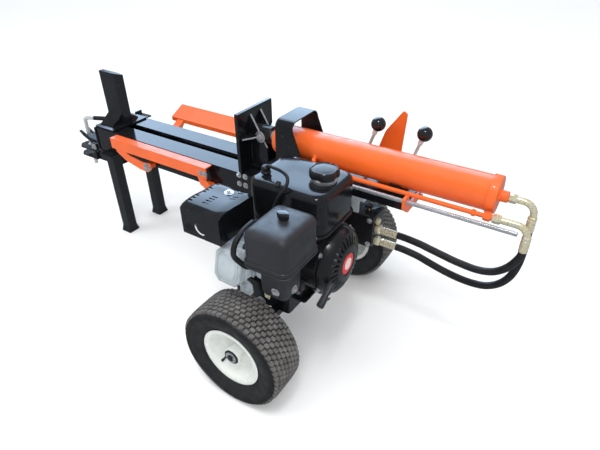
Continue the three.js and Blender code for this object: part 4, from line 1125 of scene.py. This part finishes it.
def make_recoil():
    centre = (0, CRANK_Y, CRANK_Z)
    outer = [(91, 148.3), (99.4, 148.3), (100, 149.4), (100, 152), (97.6, 160), (94, 171),
             (90.5, 177), (85, 180.6), (74, 185.6), (62, 189), (50, 191.2), (42, 192.8), (36, 193),
             (34, 191), (32, 190.6), (0.5, 190.6)]
    inner = [(0.5, 183), (70, 181.5), (86, 173), (91, 158)]
    cover = make("recoil_cover_pressing", lathe(outer + inner, centre, X, 120), ENGINE_BLACK,
                 replaces=("recoil_cover",), smooth=44)
    slots = []
    for k in range(28):
        spin = Matrix.Translation(centre) @ Matrix.Rotation(TAU * k / 28, 4, "X")
        slots.append(box(160, 200, -3.1, 3.1, 54, 82, spin))
    carve(cover, slots)
    glint = [(50, 176), (88, 166), (88, 168), (50, 179)]
    make("recoil_inner_ring", lathe(glint, centre, X, 96, closed=True), ALUMINIUM)
    disc = [(31, 190.8), (31, 192), (29, 192.4), (22.6, 192.4)]
    make("recoil_badge_ring", lathe(disc, centre, X, 64), RED)
    make("recoil_badge_disc", lathe([(18, 192.5), (18, 192.9), (0.5, 192.9)], centre, X, 64), WHITE)
    housing = [(22, 98), (102, 98), (104, 100), (104, 143), (105.6, 144), (105.6, 147), (104, 148),
               (99, 148), (99, 101), (22, 101)]
    form = lathe(housing, centre, X, 120, closed=True)
    arm = rounded(CRANK_Y - 80, CRANK_Y + 30, CRANK_Z + 60, CRANK_Z + 96, 12)
    turn = Matrix(((0, 0, 1, 98), (1, 0, 0, 0), (0, 1, 0, 0), (0, 0, 0, 1)))
    form.join(prism(arm, 46, turn))
    places = []
    for angle in (52, 118, 232, 304):
        spin = Matrix.Translation(centre) @ Matrix.Rotation(math.radians(angle), 4, "X")
        form.join(box(140, 149, -9, 9, 92, 107.5, spin))
        places.append(spin @ Vector((149, 0, 101)))
    make("fan_housing_shroud", form, ENGINE_BLACK, replaces=("fan_housing",),
         smooth=40, bevel=0.8)
    make("fan_bolts", bolts_at(places, X, 9, 5), STEEL)
    dress("flywheel", ALUMINIUM, 0.8)
    tilt = Matrix.Translation((191, -335, 345)) @ Matrix.Rotation(math.radians(28.6), 4, "X")
    section = rounded(-10, 10, -9, 9, 7)
    rows = []
    for y, shrink in ((-37, 0.72), (-35.4, 0.9), (-32, 1), (-14, 0.94),
                      (14, 0.94), (32, 1), (35.4, 0.9), (37, 0.72)):
        rows.append([tilt @ Vector((x * shrink, y, z * shrink)) for x, z in section])
    grip = loft(rows)
    collar = lathe([(7, -22), (7, -4)], tilt.translation, tilt.to_3x3() @ Vector(Z), 28)
    make("recoil_handle_grip", grip.join(collar), PLASTIC, "recoil_handle",
         ("recoil_handle",), smooth=50)
    dot = lathe([(4, 9.6), (4, 10.3), (0.5, 10.3)], tilt.translation, X, 24)
    make("recoil_handle_dot", dot, WHITE, "recoil_handle")


def make_head():
    dress("cylinder_head", ALUMINIUM, 0.8)
    dress("valve_cover", ALUMINIUM, 1.2)
    head = Matrix.Translation((-34, CRANK_Y, CRANK_Z)) @ Matrix.Rotation(math.radians(-15), 4, "X")
    octagon = [(-33, -36), (-20, -50), (20, -50), (33, -36),
               (33, 16), (20, 28), (-20, 28), (-33, 16)]
    face = Matrix(((1, 0, 0, 0), (0, 0, -1, -242.3), (0, 1, 0, 0), (0, 0, 0, 1)))
    panel = prism([(x * 0.8, (z + 11) * 0.8 - 11) for x, z in octagon], 1.6, head @ face)
    for k in range(8):
        a, b = octagon[k], octagon[(k + 1) % 8]
        start, end = (head @ face @ Vector((p[0], p[1], 1.0)) for p in (a, b))
        panel.join(tube([start, end], 1.7, 10))
    make("valve_cover_panel", panel, ALUMINIUM, bevel=0.5)
    places = [head @ Vector((x, -217.6, z)) for x in (-39.6, 39.6) for z in (-50, 30)]
    make("head_bolts", bolts_at(places, head.to_3x3() @ Vector(NEAR), 10, 6), STEEL)
    plug_at = head @ Vector((26, -206, 40))
    up = (head.to_3x3() @ Vector((0.35, -0.15, 1))).normalized()
    boot = lathe([(9, 0), (9, 12), (7, 15), (7, 26), (8.4, 28), (8.4, 36), (5, 40)], plug_at, up, 28)
    lead = [plug_at + up * 38, plug_at + up * 46 + Vector((6, 6, 0)), (34, -392, 500), (38, -356, 492),
            (40, -322, 470), (60, -300, 452), (96, -300, 446)]
    make("spark_plug_boot", boot.join(tube(smooth_path(lead, 8), 3.6, 14)), RUBBER)


def make_carburettor():
    barrel = [(15, 0), (15, 6), (12, 8), (12, 34), (15, 36), (15, 40)]
    body = lathe(barrel, (18, -400, 432), X, 40).join(box(28, 48, -420, -384, 418, 448))
    bowl = [(9, 0), (15, -4), (17, -8), (17, -26), (13, -31), (4, -33)]
    body.join(lathe(bowl, (38, -400, 420), Z, 40))
    make("carburettor_body", body, ALUMINIUM, bevel=0.8)
    screws = bolt((38, -400, 388), DOWN, 8, 5)
    screws.join(bolt((34, -420.4, 432), NEAR, 6, 4, washer=False))
    make("carburettor_screws", screws, ZINC)
    loop = [(28, -405, 424), (28, -425, 431), (28, -451, 450), (28, -474, 480), (28, -491, 510),
            (28, -486, 535), (28, -464, 552), (28, -436, 559), (28, -412, 560)]
    make("breather_hose", tube(smooth_path(loop, 8), 7, 24), RUBBER)
    lug = prism([(-20, -20), (14, -22), (22, -10), (20, 16), (6, 24), (-16, 22)], 5,
                pose((4, -428, 356), NEAR))
    lug.join(bolt((6, -433, 352), NEAR, 10, 4))
    make("head_lug", lug, ALUMINIUM, bevel=0.8)
    stop = prism([(-6, -18), (7, -22), (10, 0), (5, 20), (-5, 18), (-9, 2)], 4,
                 pose((72, -428, 372), NEAR))
    stop.join(nut((74, -433, 362), NEAR, 9, 4))
    make("throttle_stop_plate", stop, ZINC, bevel=0.5)
    reach = [(96, -314, 495), (70, -330, 486), (56, -352, 475), (44, -380, 462)]
    arm = tube(smooth_path(reach, 6), 1.3, 10)
    coils = []
    for k in range(70):
        angle = k * 1.3
        coils.append((46 + k * 0.55, -352 + 4.2 * math.sin(angle) + k * 0.3,
                      478 + 4.2 * math.cos(angle)))
    make("governor_linkage", arm.join(tube(coils, 0.8, 8)), STEEL)


def make_engine_details():
    def flutes(angle, radius, along):
        return 1 - 0.05 * max(0.0, math.cos(12 * angle)) if radius > 18 else 1

    def grip(angle, radius, along):
        return 1 - 0.1 * max(0.0, math.cos(6 * angle)) if radius > 12 else 1

    low, high = limits("tank_filler_cap")
    centre = (low + high) / 2
    rows = [(14.6, -10), (14.6, 0.3), (21, 0.4), (22, 2), (22, 17), (20.6, 20), (17, 21.6), (0.5, 22)]
    make("tank_filler_moulding", lathe(rows, (centre.x, centre.y, high.z - 22), Z, 96, swell=flutes),
         KNOB, "tank_filler_cap", ("tank_filler_cap",), smooth=44)
    low, high = limits("oil_dipstick")
    centre = (low + high) / 2
    rows = [(10, 0), (10, 6), (14.4, 6.4), (15, 8), (15, 17), (13.4, 20), (0.5, 20)]
    make("oil_dipstick_cap", lathe(rows, (centre.x, high.y, centre.z), NEAR, 72, swell=grip),
         PLASTIC, "oil_dipstick", ("oil_dipstick",), smooth=44)
    low, high = limits("stop_switch")
    centre = (low + high) / 2
    form = box(low.x, high.x, low.y + 4, high.y, low.z, high.z)
    form.join(lathe([(6, 0), (6, 3.4), (5, 4)], (centre.x, low.y + 4, centre.z), NEAR, 28))
    make("stop_switch_body", form, PLASTIC, "stop_switch", ("stop_switch",), bevel=2)
    dot = lathe([(4.4, 0), (4.4, 0.5), (0.5, 0.5)], (centre.x, low.y, centre.z), NEAR, 24)
    make("stop_switch_face", dot, RED, "stop_switch")
    bolts = bolts_at([(x, y, 276.5) for x in (-40, 80) for y in (-298, -144)], Z, 12, 7)
    bolts.join(bolts_at([(-112.4, y, z) for y in (-262, -172) for z in (322, 418)], FRONT, 11, 6))
    bolts.join(bolt((-48, -306, 186), NEAR, 15, 6))
    make("engine_bolts", bolts, STEEL)


make_fuel_tank()
make_air_filter()
make_muffler_shield()
make_recoil()
make_head()
make_carburettor()
make_engine_details()

# -------------------------------------------------------------------- floor and light


def make_stage():
    floor = bpy.data.meshes.new("floor")
    size = 30
    corners = [(-size, -size, 0), (size, -size, 0), (size, size, 0), (-size, size, 0)]
    floor.from_pydata(corners, [], [(0, 1, 2, 3)])
    ground = bpy.data.objects.new("floor", floor)
    n = Nodes("floor_paper")
    n.set(Base_Color=(0.90, 0.90, 0.90, 1), Roughness=0.9)
    floor.materials.append(n.material)
    ground.location.z = -0.0005
    ground.visible_glossy = False
    bpy.context.scene.collection.objects.link(ground)


def make_lamp(name, location, target, size, power, colour):
    lamp = bpy.data.lights.new(name, "AREA")
    lamp.shape = "DISK"
    lamp.size = size
    lamp.energy = power
    lamp.color = colour
    holder = bpy.data.objects.new(name, lamp)
    holder.location = location
    holder.rotation_euler = (Vector(target) - Vector(location)).to_track_quat("-Z", "Y").to_euler()
    bpy.context.scene.collection.objects.link(holder)
    return holder


make_stage()
MIDDLE = (CAD_LOW + CAD_HIGH) / 2
SKY_BLUE = (0.52, 0.73, 1.0)
sky = make_lamp("sky_reflection", MIDDLE + Vector((-2.7, 4.2, 3.6)), MIDDLE, 6.5, 470, SKY_BLUE)
sky.visible_diffuse = False
for name, offset, power in (("key", (2.4, -3.0, 2.8), 80), ("fill", (-3.0, -2.2, 2.2), 50)):
    lamp = make_lamp(name, MIDDLE + Vector(offset), MIDDLE, 2.4, power, (1.0, 0.99, 0.97))
    lamp.visible_glossy = False
overhead = bpy.data.lights.new("overhead", "SUN")
overhead.energy = 2.3
overhead.angle = math.radians(70)
above = bpy.data.objects.new("overhead", overhead)
above.visible_glossy = False
bpy.context.scene.collection.objects.link(above)
make_lamp("glint", MIDDLE + Vector((0.9, -1.2, 3.2)), MIDDLE, 0.5, 24, (1.0, 1.0, 1.0))

world = bpy.data.worlds.new("studio")
world.use_nodes = True
world.node_tree.nodes["Background"].inputs["Color"].default_value = (0.86, 0.93, 1.0, 1)
world.node_tree.nodes["Background"].inputs["Strength"].default_value = 0.36
bpy.context.scene.world = world
bpy.context.scene.view_settings.view_transform = "Standard"
